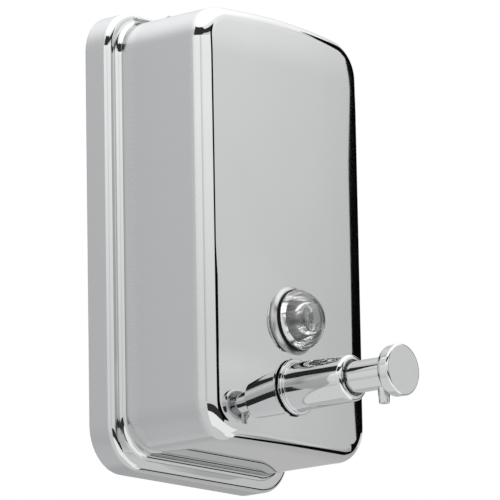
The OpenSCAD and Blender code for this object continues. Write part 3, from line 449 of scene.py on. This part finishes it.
def nozzle():
    """Small spout under the stem: a tapered tube with a rounded tip, about an upright axis."""
    profile = eased([(SPOUT_BORE_R, SPOUT_TOP_Z, 0.1), (SPOUT_R, SPOUT_TOP_Z, 0.1),
                     (SPOUT_R, SPOUT_TAPER_Z, 0.4), (SPOUT_TIP_R, SPOUT_TIP_Z, 0.35),
                     (SPOUT_BORE_R, SPOUT_TIP_Z, 0.3)])
    a = np.linspace(0, 2*np.pi, SPOUT_POINTS, endpoint=False)
    r, z = profile[:, 0][:, None], profile[:, 1][:, None]
    points = np.stack([r*np.cos(a), -SPOUT_D + r*np.sin(a), z*np.ones_like(a)], -1).reshape(-1, 3)
    return mesh_object("nozzle", points, [grid_faces(len(profile), SPOUT_POINTS, True)], outward=True)


def sight_plug():
    """Clear plug: stepped hollow, shank, flange, and a front that is part of a sphere.

    The profile starts and ends on the axis, at the end of the hollow and at the tip. Its corners are cut
    by a few tenths of a millimetre.
    """
    cut, soft = 0.2, 0.3
    step = [(0.0, STEP_D), (0.2, STEP_D), (STEP_R - 0.5, STEP_D - 0.05), (STEP_R - 0.1, STEP_D - 0.4),
            (STEP_R, HOLLOW_D + 0.1), (STEP_R + cut, HOLLOW_D)]
    hollow = [(HOLLOW_R - 0.5, HOLLOW_D), (HOLLOW_R - 0.1, HOLLOW_D - 0.2), (HOLLOW_R, HOLLOW_D - 0.6)]
    shank = [(HOLLOW_R, SIGHT_BACK_D + soft), (HOLLOW_R + soft, SIGHT_BACK_D),
             (SIGHT_SHANK_R - soft, SIGHT_BACK_D), (SIGHT_SHANK_R, SIGHT_BACK_D + soft)]
    flange = [(SIGHT_SHANK_R, SIGHT_SEAT_D - 0.1), (SIGHT_SHANK_R + 0.1, SIGHT_SEAT_D),
              (SIGHT_R - cut, SIGHT_SEAT_D), (SIGHT_R, SIGHT_SEAT_D + cut), (SIGHT_R, SIGHT_EDGE_D - cut)]
    a = np.linspace(math.asin((SIGHT_R - cut)/DOME_R), 0, 40)
    dome = np.stack([DOME_R*np.sin(a), SIGHT_TIP_D - DOME_R + DOME_R*np.cos(a)], 1)
    return solid_turned("sight_plug", np.concatenate([step, hollow, shank, flange, dome]), SIGHT_Z)


def sight_ring():
    """Black gasket between the collar and the sight glass's flange: a ring with rounded edges."""
    return turned("sight_ring", eased([
        (RING_HOLE_R, RING_BACK_D, 0.1), (RING_R, RING_BACK_D, 0.3), (RING_R, RING_D, 0.3),
        (RING_HOLE_R, RING_D, 0.1)]), SIGHT_Z)


def sight_base():
    """Collar under the sight glass's gasket, whose side is a hollow arc that spreads to a thin foot."""
    a = np.linspace(0, COLLAR_ARC, 19)
    foot_r, arc_d = COLLAR_R + COLLAR_ARC_R, COLLAR_BACK_D + COLLAR_FOOT + COLLAR_ARC_R
    side = np.stack([foot_r - COLLAR_ARC_R*np.sin(a), arc_d - COLLAR_ARC_R*np.cos(a)], 1)
    back = [(COLLAR_HOLE_R, COLLAR_BACK_D), (foot_r, COLLAR_BACK_D + COLLAR_FOOT/2)]
    face = [(COLLAR_R, COLLAR_D), (COLLAR_HOLE_R, COLLAR_D)]
    return turned("sight_base", np.concatenate([back, side, face]), SIGHT_Z)


def filler_lip():
    """Lip and upright frame round the filler opening, as a closed profile carried round its outline.

    Each row grows the outline by a distance. Heights near the roof are a rise from the roof's arc, and
    the two rows without a rise are the level lower edge.
    """
    half_l = (FILL_FRONT - FILL_BACK)/2
    base, normal = outline(FILL_HALF_W, -half_l, half_l, FILL_CORNER)
    profile = ((2.3, 0.0), (2.2, 0.1), (0.4, 0.12), (0.15, 0.02), (0.02, -0.2), (0.0, -0.5),
               (0.0, None), (SHEET, None), (SHEET, -0.6))
    rows = []
    for grow, rise in profile:
        p = base + grow*normal
        if rise is None:
            z = np.full(len(p), FRAME_Z)
        else:
            z = ARCH_Z + np.sqrt(ARCH_R**2 - p[:, 0]**2) + rise
        rows.append(np.stack([p[:, 0], p[:, 1] - (FILL_BACK + FILL_FRONT)/2, z], 1))
    return mesh_object("filler_lip", np.concatenate(rows), [grid_faces(len(rows), len(base), True)],
                       outward=True)


def helix(name, radius, turns, start, end, wire):
    """A round wire carried along a helix about the valve's axis, with closed ends.

    Each ring of points stands across the wire: one direction is away from the axis, and the other is
    across both that and the wire's own direction.
    """
    rings, sides = turns*COIL_STEPS + 1, WIRE_POINTS
    a = np.linspace(0, 2*np.pi*turns, rings)[:, None]
    b = np.linspace(0, 2*np.pi, sides, endpoint=False)[None, :]
    lean = math.atan((end - start)/(2*np.pi*turns*radius))
    out, up = wire/2*np.cos(b), wire/2*np.sin(b)
    r = radius + out
    x = r*np.cos(a) + up*math.sin(lean)*np.sin(a)
    z = VALVE_Z + r*np.sin(a) - up*math.sin(lean)*np.cos(a)
    d = start + (end - start)*a/a[-1] + up*math.cos(lean)
    points = np.stack([x, -d, z], -1).reshape(-1, 3)
    ends = np.stack([points[:sides].mean(0), points[-sides:].mean(0)])
    count = len(points)
    ring = np.arange(sides)
    faces = [grid_faces(rings, sides), fan(ring, count), fan(count - sides + ring, count + 1)]
    return mesh_object(name, np.concatenate([points, ends]), faces, outward=True)


def material(name, colour, metallic, roughness):
    """A new material with its node tree and its main shader, set to a plain finish."""
    made = bpy.data.materials.new(name)
    made.use_nodes = True
    tree = made.node_tree
    shader = tree.nodes["Principled BSDF"]
    shader.inputs["Base Color"].default_value = (*colour, 1)
    shader.inputs["Metallic"].default_value = metallic
    shader.inputs["Roughness"].default_value = roughness
    return made, tree, shader


def grain(tree, stretch, detail):
    """Noise on Object coordinates, stretched by a scale along each axis."""
    place = tree.nodes.new("ShaderNodeTexCoord")
    mapping = tree.nodes.new("ShaderNodeMapping")
    mapping.inputs["Scale"].default_value = stretch
    noise = tree.nodes.new("ShaderNodeTexNoise")
    noise.inputs["Scale"].default_value = 1.0
    noise.inputs["Detail"].default_value = detail
    tree.links.new(place.outputs["Object"], mapping.inputs["Vector"])
    tree.links.new(mapping.outputs["Vector"], noise.inputs["Vector"])
    return noise.outputs["Fac"]


def ranged(tree, value, low, high, from_low=0.3, from_high=0.7):
    """A value mapped to a range, held within it."""
    node = tree.nodes.new("ShaderNodeMapRange")
    node.inputs["From Min"].default_value = from_low
    node.inputs["From Max"].default_value = from_high
    node.inputs["To Min"].default_value = low
    node.inputs["To Max"].default_value = high
    tree.links.new(value, node.inputs["Value"])
    return node.outputs["Result"]


def blended(tree, share, first, second):
    """A colour between two colours, by a share."""
    node = tree.nodes.new("ShaderNodeMix")
    node.data_type = "RGBA"
    for socket, value in ((node.inputs[6], first), (node.inputs[7], second)):
        if isinstance(value, tuple):
            socket.default_value = (*value, 1)
        else:
            tree.links.new(value, socket)
    tree.links.new(share, node.inputs["Factor"])
    return node.outputs[2]


def between(tree, share, first, second):
    """A value between two values, by a share."""
    node = tree.nodes.new("ShaderNodeMix")
    tree.links.new(share, node.inputs["Factor"])
    tree.links.new(first, node.inputs["A"])
    tree.links.new(second, node.inputs["B"])
    return node.outputs["Result"]


def product(tree, first, second):
    """Two values multiplied."""
    node = tree.nodes.new("ShaderNodeMath")
    node.operation = "MULTIPLY"
    for socket, value in zip(node.inputs, (first, second)):
        if isinstance(value, float):
            socket.default_value = value
        else:
            tree.links.new(value, socket)
    return node.outputs[0]


def bump(tree, height, strength, distance):
    """The normal of a small relief from a height."""
    node = tree.nodes.new("ShaderNodeBump")
    node.inputs["Strength"].default_value = strength
    node.inputs["Distance"].default_value = distance
    tree.links.new(height, node.inputs["Height"])
    return node.outputs["Normal"]


def dished(tree, normal):
    """A normal turned a little, as on the sheet beside the fittings, which their nuts pull out of true.

    To the left of the fittings the front leans to the left: at once beside the sight glass, and more with
    distance beside the valve, where it also leans up above and down below.
    """
    place = tree.nodes.new("ShaderNodeTexCoord")
    split = tree.nodes.new("ShaderNodeSeparateXYZ")
    tree.links.new(place.outputs["Object"], split.inputs[0])
    facing = tree.nodes.new("ShaderNodeSeparateXYZ")
    tree.links.new(normal, facing.inputs[0])
    square = ranged(tree, facing.outputs["Y"], 1.0, 0.0, *FACING_SPAN)
    left = ranged(tree, split.outputs["X"], 1.0, 0.0, *FAR_SPAN)
    beside = ranged(tree, split.outputs["X"], 1.0, 0.0, *CLOSE_SPAN)
    low = product(tree, ranged(tree, split.outputs["Z"], 1.0, 0.0, *SIGHT_SPAN), square)
    near = ranged(tree, split.outputs["Z"], 1.0, 0.0, *VALVE_SPAN)
    lean = product(tree, product(tree, between(tree, near, beside, left), low), -LEAN_ACROSS)
    upright = ranged(tree, split.outputs["Z"], -LEAN_UP, LEAN_UP, *RISE_SPAN)
    rise = product(tree, upright, product(tree, left, product(tree, near, square)))
    join = tree.nodes.new("ShaderNodeCombineXYZ")
    tree.links.new(lean, join.inputs["X"])
    tree.links.new(rise, join.inputs["Z"])
    add = tree.nodes.new("ShaderNodeVectorMath")
    tree.links.new(normal, add.inputs[0])
    tree.links.new(join.outputs[0], add.inputs[1])
    unit = tree.nodes.new("ShaderNodeVectorMath")
    unit.operation = "NORMALIZE"
    tree.links.new(add.outputs[0], unit.inputs[0])
    return unit.outputs[0]


def drawn_steel():
    """Steel of the tank and rim: satin where it was brushed, polished at the bends and the front.

    The share of satin comes from the mesh, point by point, and also lays the walls' painted shade.
    """
    made, tree, shader = material("drawn_steel", (0.56, 0.565, 0.57), 1.0, 0.06)
    share = tree.nodes.new("ShaderNodeAttribute")
    share.attribute_name = "satin"
    satin = share.outputs["Fac"]
    lines = grain(tree, (300, 14, 2600), 4.0)
    cloud = grain(tree, (22, 22, 14), 2.0)
    # The brushed colour lies below the polished one: painted shade for the walls' dimmer light, with real
    # grain in its lines
    brushed = blended(tree, ranged(tree, lines, 0.0, 1.0), (0.455, 0.46, 0.47), (0.475, 0.48, 0.49))
    polished = blended(tree, ranged(tree, cloud, 0.0, 1.0), (0.55, 0.555, 0.555), (0.575, 0.58, 0.58))
    tree.links.new(blended(tree, satin, polished, brushed), shader.inputs["Base Color"])
    rough = between(tree, satin, ranged(tree, cloud, 0.018, 0.03), ranged(tree, lines, 0.32, 0.38))
    tree.links.new(rough, shader.inputs["Roughness"])
    relief = bump(tree, product(tree, lines, satin), 0.05, 0.0002)
    tree.links.new(dished(tree, relief), shader.inputs["Normal"])
    return made


def brushed_sheet():
    """Plain brushed steel for the lid, hinge, back panel, filler lip and collar, with its lines across."""
    made, tree, shader = material("brushed_sheet", (0.5, 0.505, 0.51), 1.0, 0.34)
    lines = grain(tree, (30, 1800, 1800), 4.0)
    shade = blended(tree, ranged(tree, lines, 0.0, 1.0), (0.46, 0.465, 0.47), (0.54, 0.545, 0.55))
    tree.links.new(shade, shader.inputs["Base Color"])
    tree.links.new(ranged(tree, lines, 0.28, 0.42), shader.inputs["Roughness"])
    tree.links.new(bump(tree, lines, 0.08, 0.0002), shader.inputs["Normal"])
    return made


def chrome_plate():
    """Polished chrome with faint clouding and a few dull specks."""
    made, tree, shader = material("chrome_plate", (0.6, 0.605, 0.61), 1.0, 0.05)
    cloud = grain(tree, (60, 60, 60), 2.0)
    speck = grain(tree, (900, 900, 900), 1.0)
    shade = blended(tree, ranged(tree, speck, 0.0, 1.0, 0.74, 0.80), (0.6, 0.605, 0.61), (0.42, 0.42, 0.43))
    tree.links.new(shade, shader.inputs["Base Color"])
    tree.links.new(ranged(tree, cloud, 0.035, 0.07), shader.inputs["Roughness"])
    return made


def zinc_plate():
    """Zinc-plated steel: dull flakes of slightly different greys."""
    made, tree, shader = material("zinc_plate", (0.5, 0.52, 0.54), 1.0, 0.45)
    place = tree.nodes.new("ShaderNodeTexCoord")
    flakes = tree.nodes.new("ShaderNodeTexVoronoi")
    flakes.inputs["Scale"].default_value = 260
    tree.links.new(place.outputs["Object"], flakes.inputs["Vector"])
    tone = flakes.outputs["Color"]
    shade = blended(tree, ranged(tree, tone, 0.0, 1.0, 0.2, 0.8), (0.46, 0.48, 0.50), (0.60, 0.62, 0.64))
    tree.links.new(shade, shader.inputs["Base Color"])
    tree.links.new(ranged(tree, tone, 0.38, 0.55, 0.2, 0.8), shader.inputs["Roughness"])
    return made


def turned_metal(name, dark, light):
    """Bright turned metal with fine lines and faint stains."""
    made, tree, shader = material(name, light, 1.0, 0.25)
    lines = grain(tree, (900, 900, 900), 3.0)
    stain = grain(tree, (120, 120, 120), 2.0)
    shade = blended(tree, ranged(tree, stain, 0.0, 1.0), dark, light)
    tree.links.new(shade, shader.inputs["Base Color"])
    tree.links.new(ranged(tree, lines, 0.2, 0.36), shader.inputs["Roughness"])
    return made


def black_rubber():
    """Matt black rubber with a fine uneven skin."""
    made, tree, shader = material("black_rubber", (0.004, 0.004, 0.0045), 0.0, 0.5)
    shader.inputs["Specular IOR Level"].default_value = 0.2
    skin = grain(tree, (1500, 1500, 1500), 2.0)
    tree.links.new(ranged(tree, skin, 0.42, 0.62), shader.inputs["Roughness"])
    tree.links.new(bump(tree, skin, 0.15, 0.0002), shader.inputs["Normal"])
    return made


def clear_plastic():
    """Clear moulded plastic with slight flow ripples."""
    made, tree, shader = material("clear_plastic", (0.97, 0.98, 0.985), 0.0, 0.02)
    shader.inputs["Transmission Weight"].default_value = 0.9
    shader.inputs["IOR"].default_value = 1.49
    shader.inputs["Specular IOR Level"].default_value = 0.9
    ripple = grain(tree, (180, 180, 180), 1.0)
    tree.links.new(ranged(tree, ripple, 0.01, 0.04), shader.inputs["Roughness"])
    tree.links.new(bump(tree, ripple, 0.06, 0.0006), shader.inputs["Normal"])
    return made


def white_plastic():
    """Moulded white plastic with a fine matt texture."""
    made, tree, shader = material("white_plastic", (0.82, 0.82, 0.80), 0.0, 0.45)
    skin = grain(tree, (1200, 1200, 1200), 2.0)
    tone = grain(tree, (40, 40, 40), 2.0)
    shade = blended(tree, ranged(tree, tone, 0.0, 1.0), (0.79, 0.79, 0.77), (0.84, 0.84, 0.82))
    tree.links.new(shade, shader.inputs["Base Color"])
    tree.links.new(ranged(tree, skin, 0.4, 0.52), shader.inputs["Roughness"])
    tree.links.new(bump(tree, skin, 0.1, 0.0002), shader.inputs["Normal"])
    return made


def glow(name):
    """A plain shade for studio cards, which gives off light at the level that each point carries."""
    made = bpy.data.materials.new(name)
    made.use_nodes = True
    tree = made.node_tree
    tree.nodes.remove(tree.nodes["Principled BSDF"])
    light = tree.nodes.new("ShaderNodeEmission")
    light.inputs["Color"].default_value = (1, 1, 1, 1)
    level = tree.nodes.new("ShaderNodeAttribute")
    level.attribute_name = "level"
    tree.links.new(level.outputs["Fac"], light.inputs["Strength"])
    tree.links.new(light.outputs["Emission"], tree.nodes["Material Output"].inputs["Surface"])
    return made


def card(name, shade, distance, levels, path):
    """A studio card that only reflections see: a strip of a sphere round the part.

    The path's points are azimuth, elevation and half the strip's width, in degrees, and a share of light.
    Azimuth turns from the front towards +X, and the width is measured across the path. The light's level
    also follows elevation, by pairs of elevation and level.
    """
    path = np.array(path, float)
    t = np.linspace(0, len(path) - 1, CARD_STEPS)
    az, el, half, share = (np.interp(t, np.arange(len(path)), path[:, i]) for i in range(4))
    along = np.stack([np.gradient(az)*np.cos(np.radians(el)), np.gradient(el)], 1)
    along /= np.linalg.norm(along, axis=1, keepdims=True)
    s = half[:, None]*np.linspace(-1, 1, CARD_WIDE)[None, :]
    a = np.radians(az[:, None] - s*along[:, 1][:, None]/np.cos(np.radians(el))[:, None])
    e = np.radians(el[:, None] + s*along[:, 0][:, None])
    points = distance*np.stack([np.sin(a)*np.cos(e), -np.cos(a)*np.cos(e), np.sin(e)], -1).reshape(-1, 3)
    k, j = np.meshgrid(np.arange(CARD_STEPS - 1), np.arange(CARD_WIDE - 1), indexing="ij")
    base = (k*CARD_WIDE + j).ravel()
    quads = np.stack([base, base + 1, base + CARD_WIDE + 1, base + CARD_WIDE], 1)
    level = (np.interp(np.degrees(e), *np.array(levels, float).T)*share[:, None]).ravel()
    obj = mesh_object(name, points, [quads], {"level": level})
    obj.data.materials.append(shade)
    obj.visible_camera = False
    obj.visible_diffuse = False
    obj.visible_shadow = False


def studio_cards():
    """Softboxes round the part, and the dark gaps and flags between them."""
    shade = glow("card_light")
    even, dark, black = [(0, 1.0)], [(0, 0.05)], [(0, 0.004)]
    side_light = [(0, 1.0), (9, 1.08), (15, 1.35), (24, 1.5)]
    top_light = [(36, 1.33), (42, 1.4), (46, 1.5), (52, 1.85)]
    front_light = [(5, 0.9), (10, 0.94), (15, 1.01), (18.5, 1.06), (21, 1.2), (25, 1.28), (40, 1.42)]
    low_light = [(-45, 0.7), (-30, 0.7), (-18, 0.6), (-12, 0.62)]
    card("left_softbox", shade, 1650, side_light, [(-125, 12, 12, 1), (9, 12, 12, 1)])
    card("seam", shade, 1640, side_light,
         [(-69, 12, 11.9, 1), (-65.5, 12, 11.9, 0.64), (-61, 12, 11.9, 0.82), (-50, 12, 11.9, 1)])
    card("top_softbox", shade, 1700, top_light, [(-180, 64, 26, 1), (180, 64, 26, 1)])
    card("front_wall", shade, 1680, front_light,
         [(18, 10, 30, 1.05), (46, 10, 30, 1), (64, 10, 30, 0.85)])
    card("back_left", shade, 1720, even, [(-180, -14, 38, 0.82), (-126, -14, 38, 0.82)])
    card("bounce", shade, 980, even, [(-62, -44, 21, 1.4), (40, -44, 21, 1.4)])
    card("bounce_end", shade, 975, even, [(38, -54, 11, 1.4), (52, -56, 11, 1.4), (66, -60, 9, 1.4)])
    card("low_shade", shade, 978, even, [(50, -36, 4, 0.55), (60, -36, 4, 0.5)])
    card("low_right", shade, 990, low_light, [(58, -32, 24, 1), (160, -32, 24, 1)])
    card("upper_gap", shade, 1560, dark,
         [(-114, 36, 11, 1), (-52, 35, 10, 1), (-38, 33.5, 5, 1), (0, 32.5, 4.5, 1), (16, 31, 4.5, 1)])
    card("middle_gap", shade, 1550, black,
         [(14, 35, 6, 1), (15, 24, 6.5, 1), (19, 15, 7, 1), (19, 4, 7, 1), (15, -8, 7, 1), (8, -19, 6, 1)])
    card("lower_gap", shade, 970, dark, [(-60, -16, 9, 1), (14, -15, 9, 1)])
    card("right_flag", shade, 1500, black,
         [(80, 4, 20, 1), (80, 8, 20.7, 1), (80, 14, 20.2, 1), (80, 18, 18.8, 1), (80, 22, 17.7, 1),
          (80, 30, 13.1, 1), (80, 34, 10.5, 1), (80, 38, 5.5, 1), (80, 41, 1.5, 1)])
    card("right_flag_end", shade, 1490, black, [(98, 12, 4.5, 1), (126, 12, 4, 1)])
    card("low_flag", shade, 960, black,
         [(65, 4, 7.5, 1), (66, -2, 6.3, 1), (71, -9, 6.6, 1), (75, -15, 4.8, 1), (74, -19, 4.5, 1),
          (67, -26, 5.3, 1), (65.5, -32, 5, 1), (66, -44, 4, 1), (70, -48, 2.6, 1), (72, -50, 1, 1)])


def white_room():
    """White surroundings to the camera, in mirrors and through clear pieces, and dimmer light elsewhere."""
    world = bpy.data.worlds.new("white_room")
    bpy.context.scene.world = world
    world.use_nodes = True
    tree = world.node_tree
    seen = tree.nodes["Background"]
    dim = tree.nodes.new("ShaderNodeBackground")
    for node, strength in ((seen, 1.0), (dim, ROOM_LIGHT)):
        node.inputs["Color"].default_value = (1, 1, 1, 1)
        node.inputs["Strength"].default_value = strength
    path = tree.nodes.new("ShaderNodeLightPath")
    first = tree.nodes.new("ShaderNodeMath")
    second = tree.nodes.new("ShaderNodeMath")
    for node in (first, second):
        node.operation = "MAXIMUM"
    tree.links.new(path.outputs["Is Camera Ray"], first.inputs[0])
    tree.links.new(path.outputs["Is Glossy Ray"], first.inputs[1])
    tree.links.new(first.outputs[0], second.inputs[0])
    tree.links.new(path.outputs["Is Transmission Ray"], second.inputs[1])
    mix = tree.nodes.new("ShaderNodeMixShader")
    tree.links.new(second.outputs[0], mix.inputs["Fac"])
    tree.links.new(dim.outputs[0], mix.inputs[1])
    tree.links.new(seen.outputs[0], mix.inputs[2])
    tree.links.new(mix.outputs[0], tree.nodes["World Output"].inputs["Surface"])


def pale_floor():
    """A level square of pale paint, which polished surfaces see as nearly white."""
    half, level = FLOOR_HALF, FLOOR_Z
    corners = np.array([[-half, -half, level], [half, -half, level],
                        [half, half, level], [-half, half, level]])
    floor = mesh_object("floor", corners, [np.array([[0, 1, 2, 3]])])
    paint, tree, shader = material("floor_paint", (0.86, 0.86, 0.86), 0.0, 0.8)
    tone = grain(tree, (6, 6, 6), 2.0)
    shade = blended(tree, ranged(tree, tone, 0.0, 1.0), (0.85, 0.85, 0.85), (0.87, 0.87, 0.87))
    tree.links.new(shade, shader.inputs["Base Color"])
    white = tree.nodes.new("ShaderNodeEmission")
    white.inputs["Strength"].default_value = FLOOR_SEEN
    path = tree.nodes.new("ShaderNodeLightPath")
    mix = tree.nodes.new("ShaderNodeMixShader")
    tree.links.new(path.outputs["Is Glossy Ray"], mix.inputs["Fac"])
    tree.links.new(shader.outputs[0], mix.inputs[1])
    tree.links.new(white.outputs[0], mix.inputs[2])
    tree.links.new(mix.outputs[0], tree.nodes["Material Output"].inputs["Surface"])
    floor.data.materials.append(paint)


def key_lamp():
    """A soft square lamp from the upper left, which reflections don't see."""
    lamp = bpy.data.lights.new("soft_key", "AREA")
    lamp.energy = KEY_POWER
    lamp.size = KEY_WIDTH
    key = linked("soft_key", lamp)
    key.location = KEY_PLACE
    key.rotation_euler = (math.radians(KEY_TILT), 0, math.radians(KEY_TURN))
    key.visible_glossy = False


def photo_camera():
    """The photo's camera: its directions and place are the columns of its matrix."""
    camera = bpy.data.cameras.new("photo_camera")
    camera.sensor_width = SENSOR_W
    camera.lens = SENSOR_W*FOCAL_PIXELS/PICTURE_PIXELS
    camera.clip_end = VIEW_END
    eye = linked("photo_camera", camera)
    columns = ((*CAMERA_RIGHT, 0), (*CAMERA_UP, 0), (*CAMERA_BACK, 0), (*CAMERA_PLACE, 1))
    eye.matrix_world = Matrix(columns).transposed()
    bpy.context.scene.camera = eye


def studio():
    """Cards, white surroundings, a pale floor, a soft lamp and the camera."""
    studio_cards()
    white_room()
    pale_floor()
    key_lamp()
    photo_camera()
    bpy.context.scene.view_settings.view_transform = "Standard"


def dress():
    """Gives every node its finish, and makes the new pieces that stand for some of the nodes."""
    steel, sheet, chrome = drawn_steel(), brushed_sheet(), chrome_plate()
    rubber, clear, white = black_rubber(), clear_plastic(), white_plastic()
    screw = turned_metal("screw_steel", (0.42, 0.42, 0.43), (0.58, 0.58, 0.59))
    brass = turned_metal("turned_brass", (0.55, 0.42, 0.20), (0.74, 0.59, 0.31))
    finishes = {"satin_steel": sheet, "galvanised_steel": zinc_plate(), "screw_steel": screw,
                "chrome_plate": chrome, "brass_plug": brass, "black_rubber": rubber,
                "clear_plastic": clear, "white_plastic": white}
    for part in frame["record"]["subparts"]:
        obj = frame["nodes"][part["node"]]
        obj.data.materials.clear()
        obj.data.materials.append(finishes[part["material_slot"]])

    finish_piece(thicken(body_skin(), SHEET), "tank", steel, "body_shell")
    finish_piece(filler_lip(), "tank", sheet, "filler_frame")
    finish_piece(thicken(rim_skin(), SHEET), "tank", steel, "back_rim")
    finish_piece(barrel(), "tank", chrome, "valve_barrel")
    finish_piece(stem(), "plunger", chrome, "pump_stem")
    finish_piece(button(), "plunger", chrome, "push_button")
    finish_piece(nozzle(), "plunger", chrome, "spout_nozzle")
    finish_piece(sight_plug(), "tank", clear, "sight_glass")
    finish_piece(sight_ring(), "tank", rubber, "sight_gasket")
    finish_piece(sight_base(), "tank", sheet, "sight_collar")

    # The return spring's space is 33 mm long at rest and 21 mm pressed, from a seat 48 mm off the wall
    coil = helix("return_coil", RETURN_R, RETURN_TURNS, RETURN_START_D, RETURN_END_D, RETURN_WIRE)
    finish_piece(coil, "tank", screw, "return_spring")
    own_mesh(coil)

    # The outlet spring fills its node's box, and its ball's lift shortens it by 1.5 mm
    low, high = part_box("outlet_spring")
    start, end = -high[1]/MM + OUTLET_WIRE/2, -low[1]/MM - OUTLET_WIRE/2
    light = helix("outlet_coil", OUTLET_R, OUTLET_TURNS, start, end, OUTLET_WIRE)
    finish_piece(light, "plunger", screw, "outlet_spring")
    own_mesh(light)


dress()
studio()
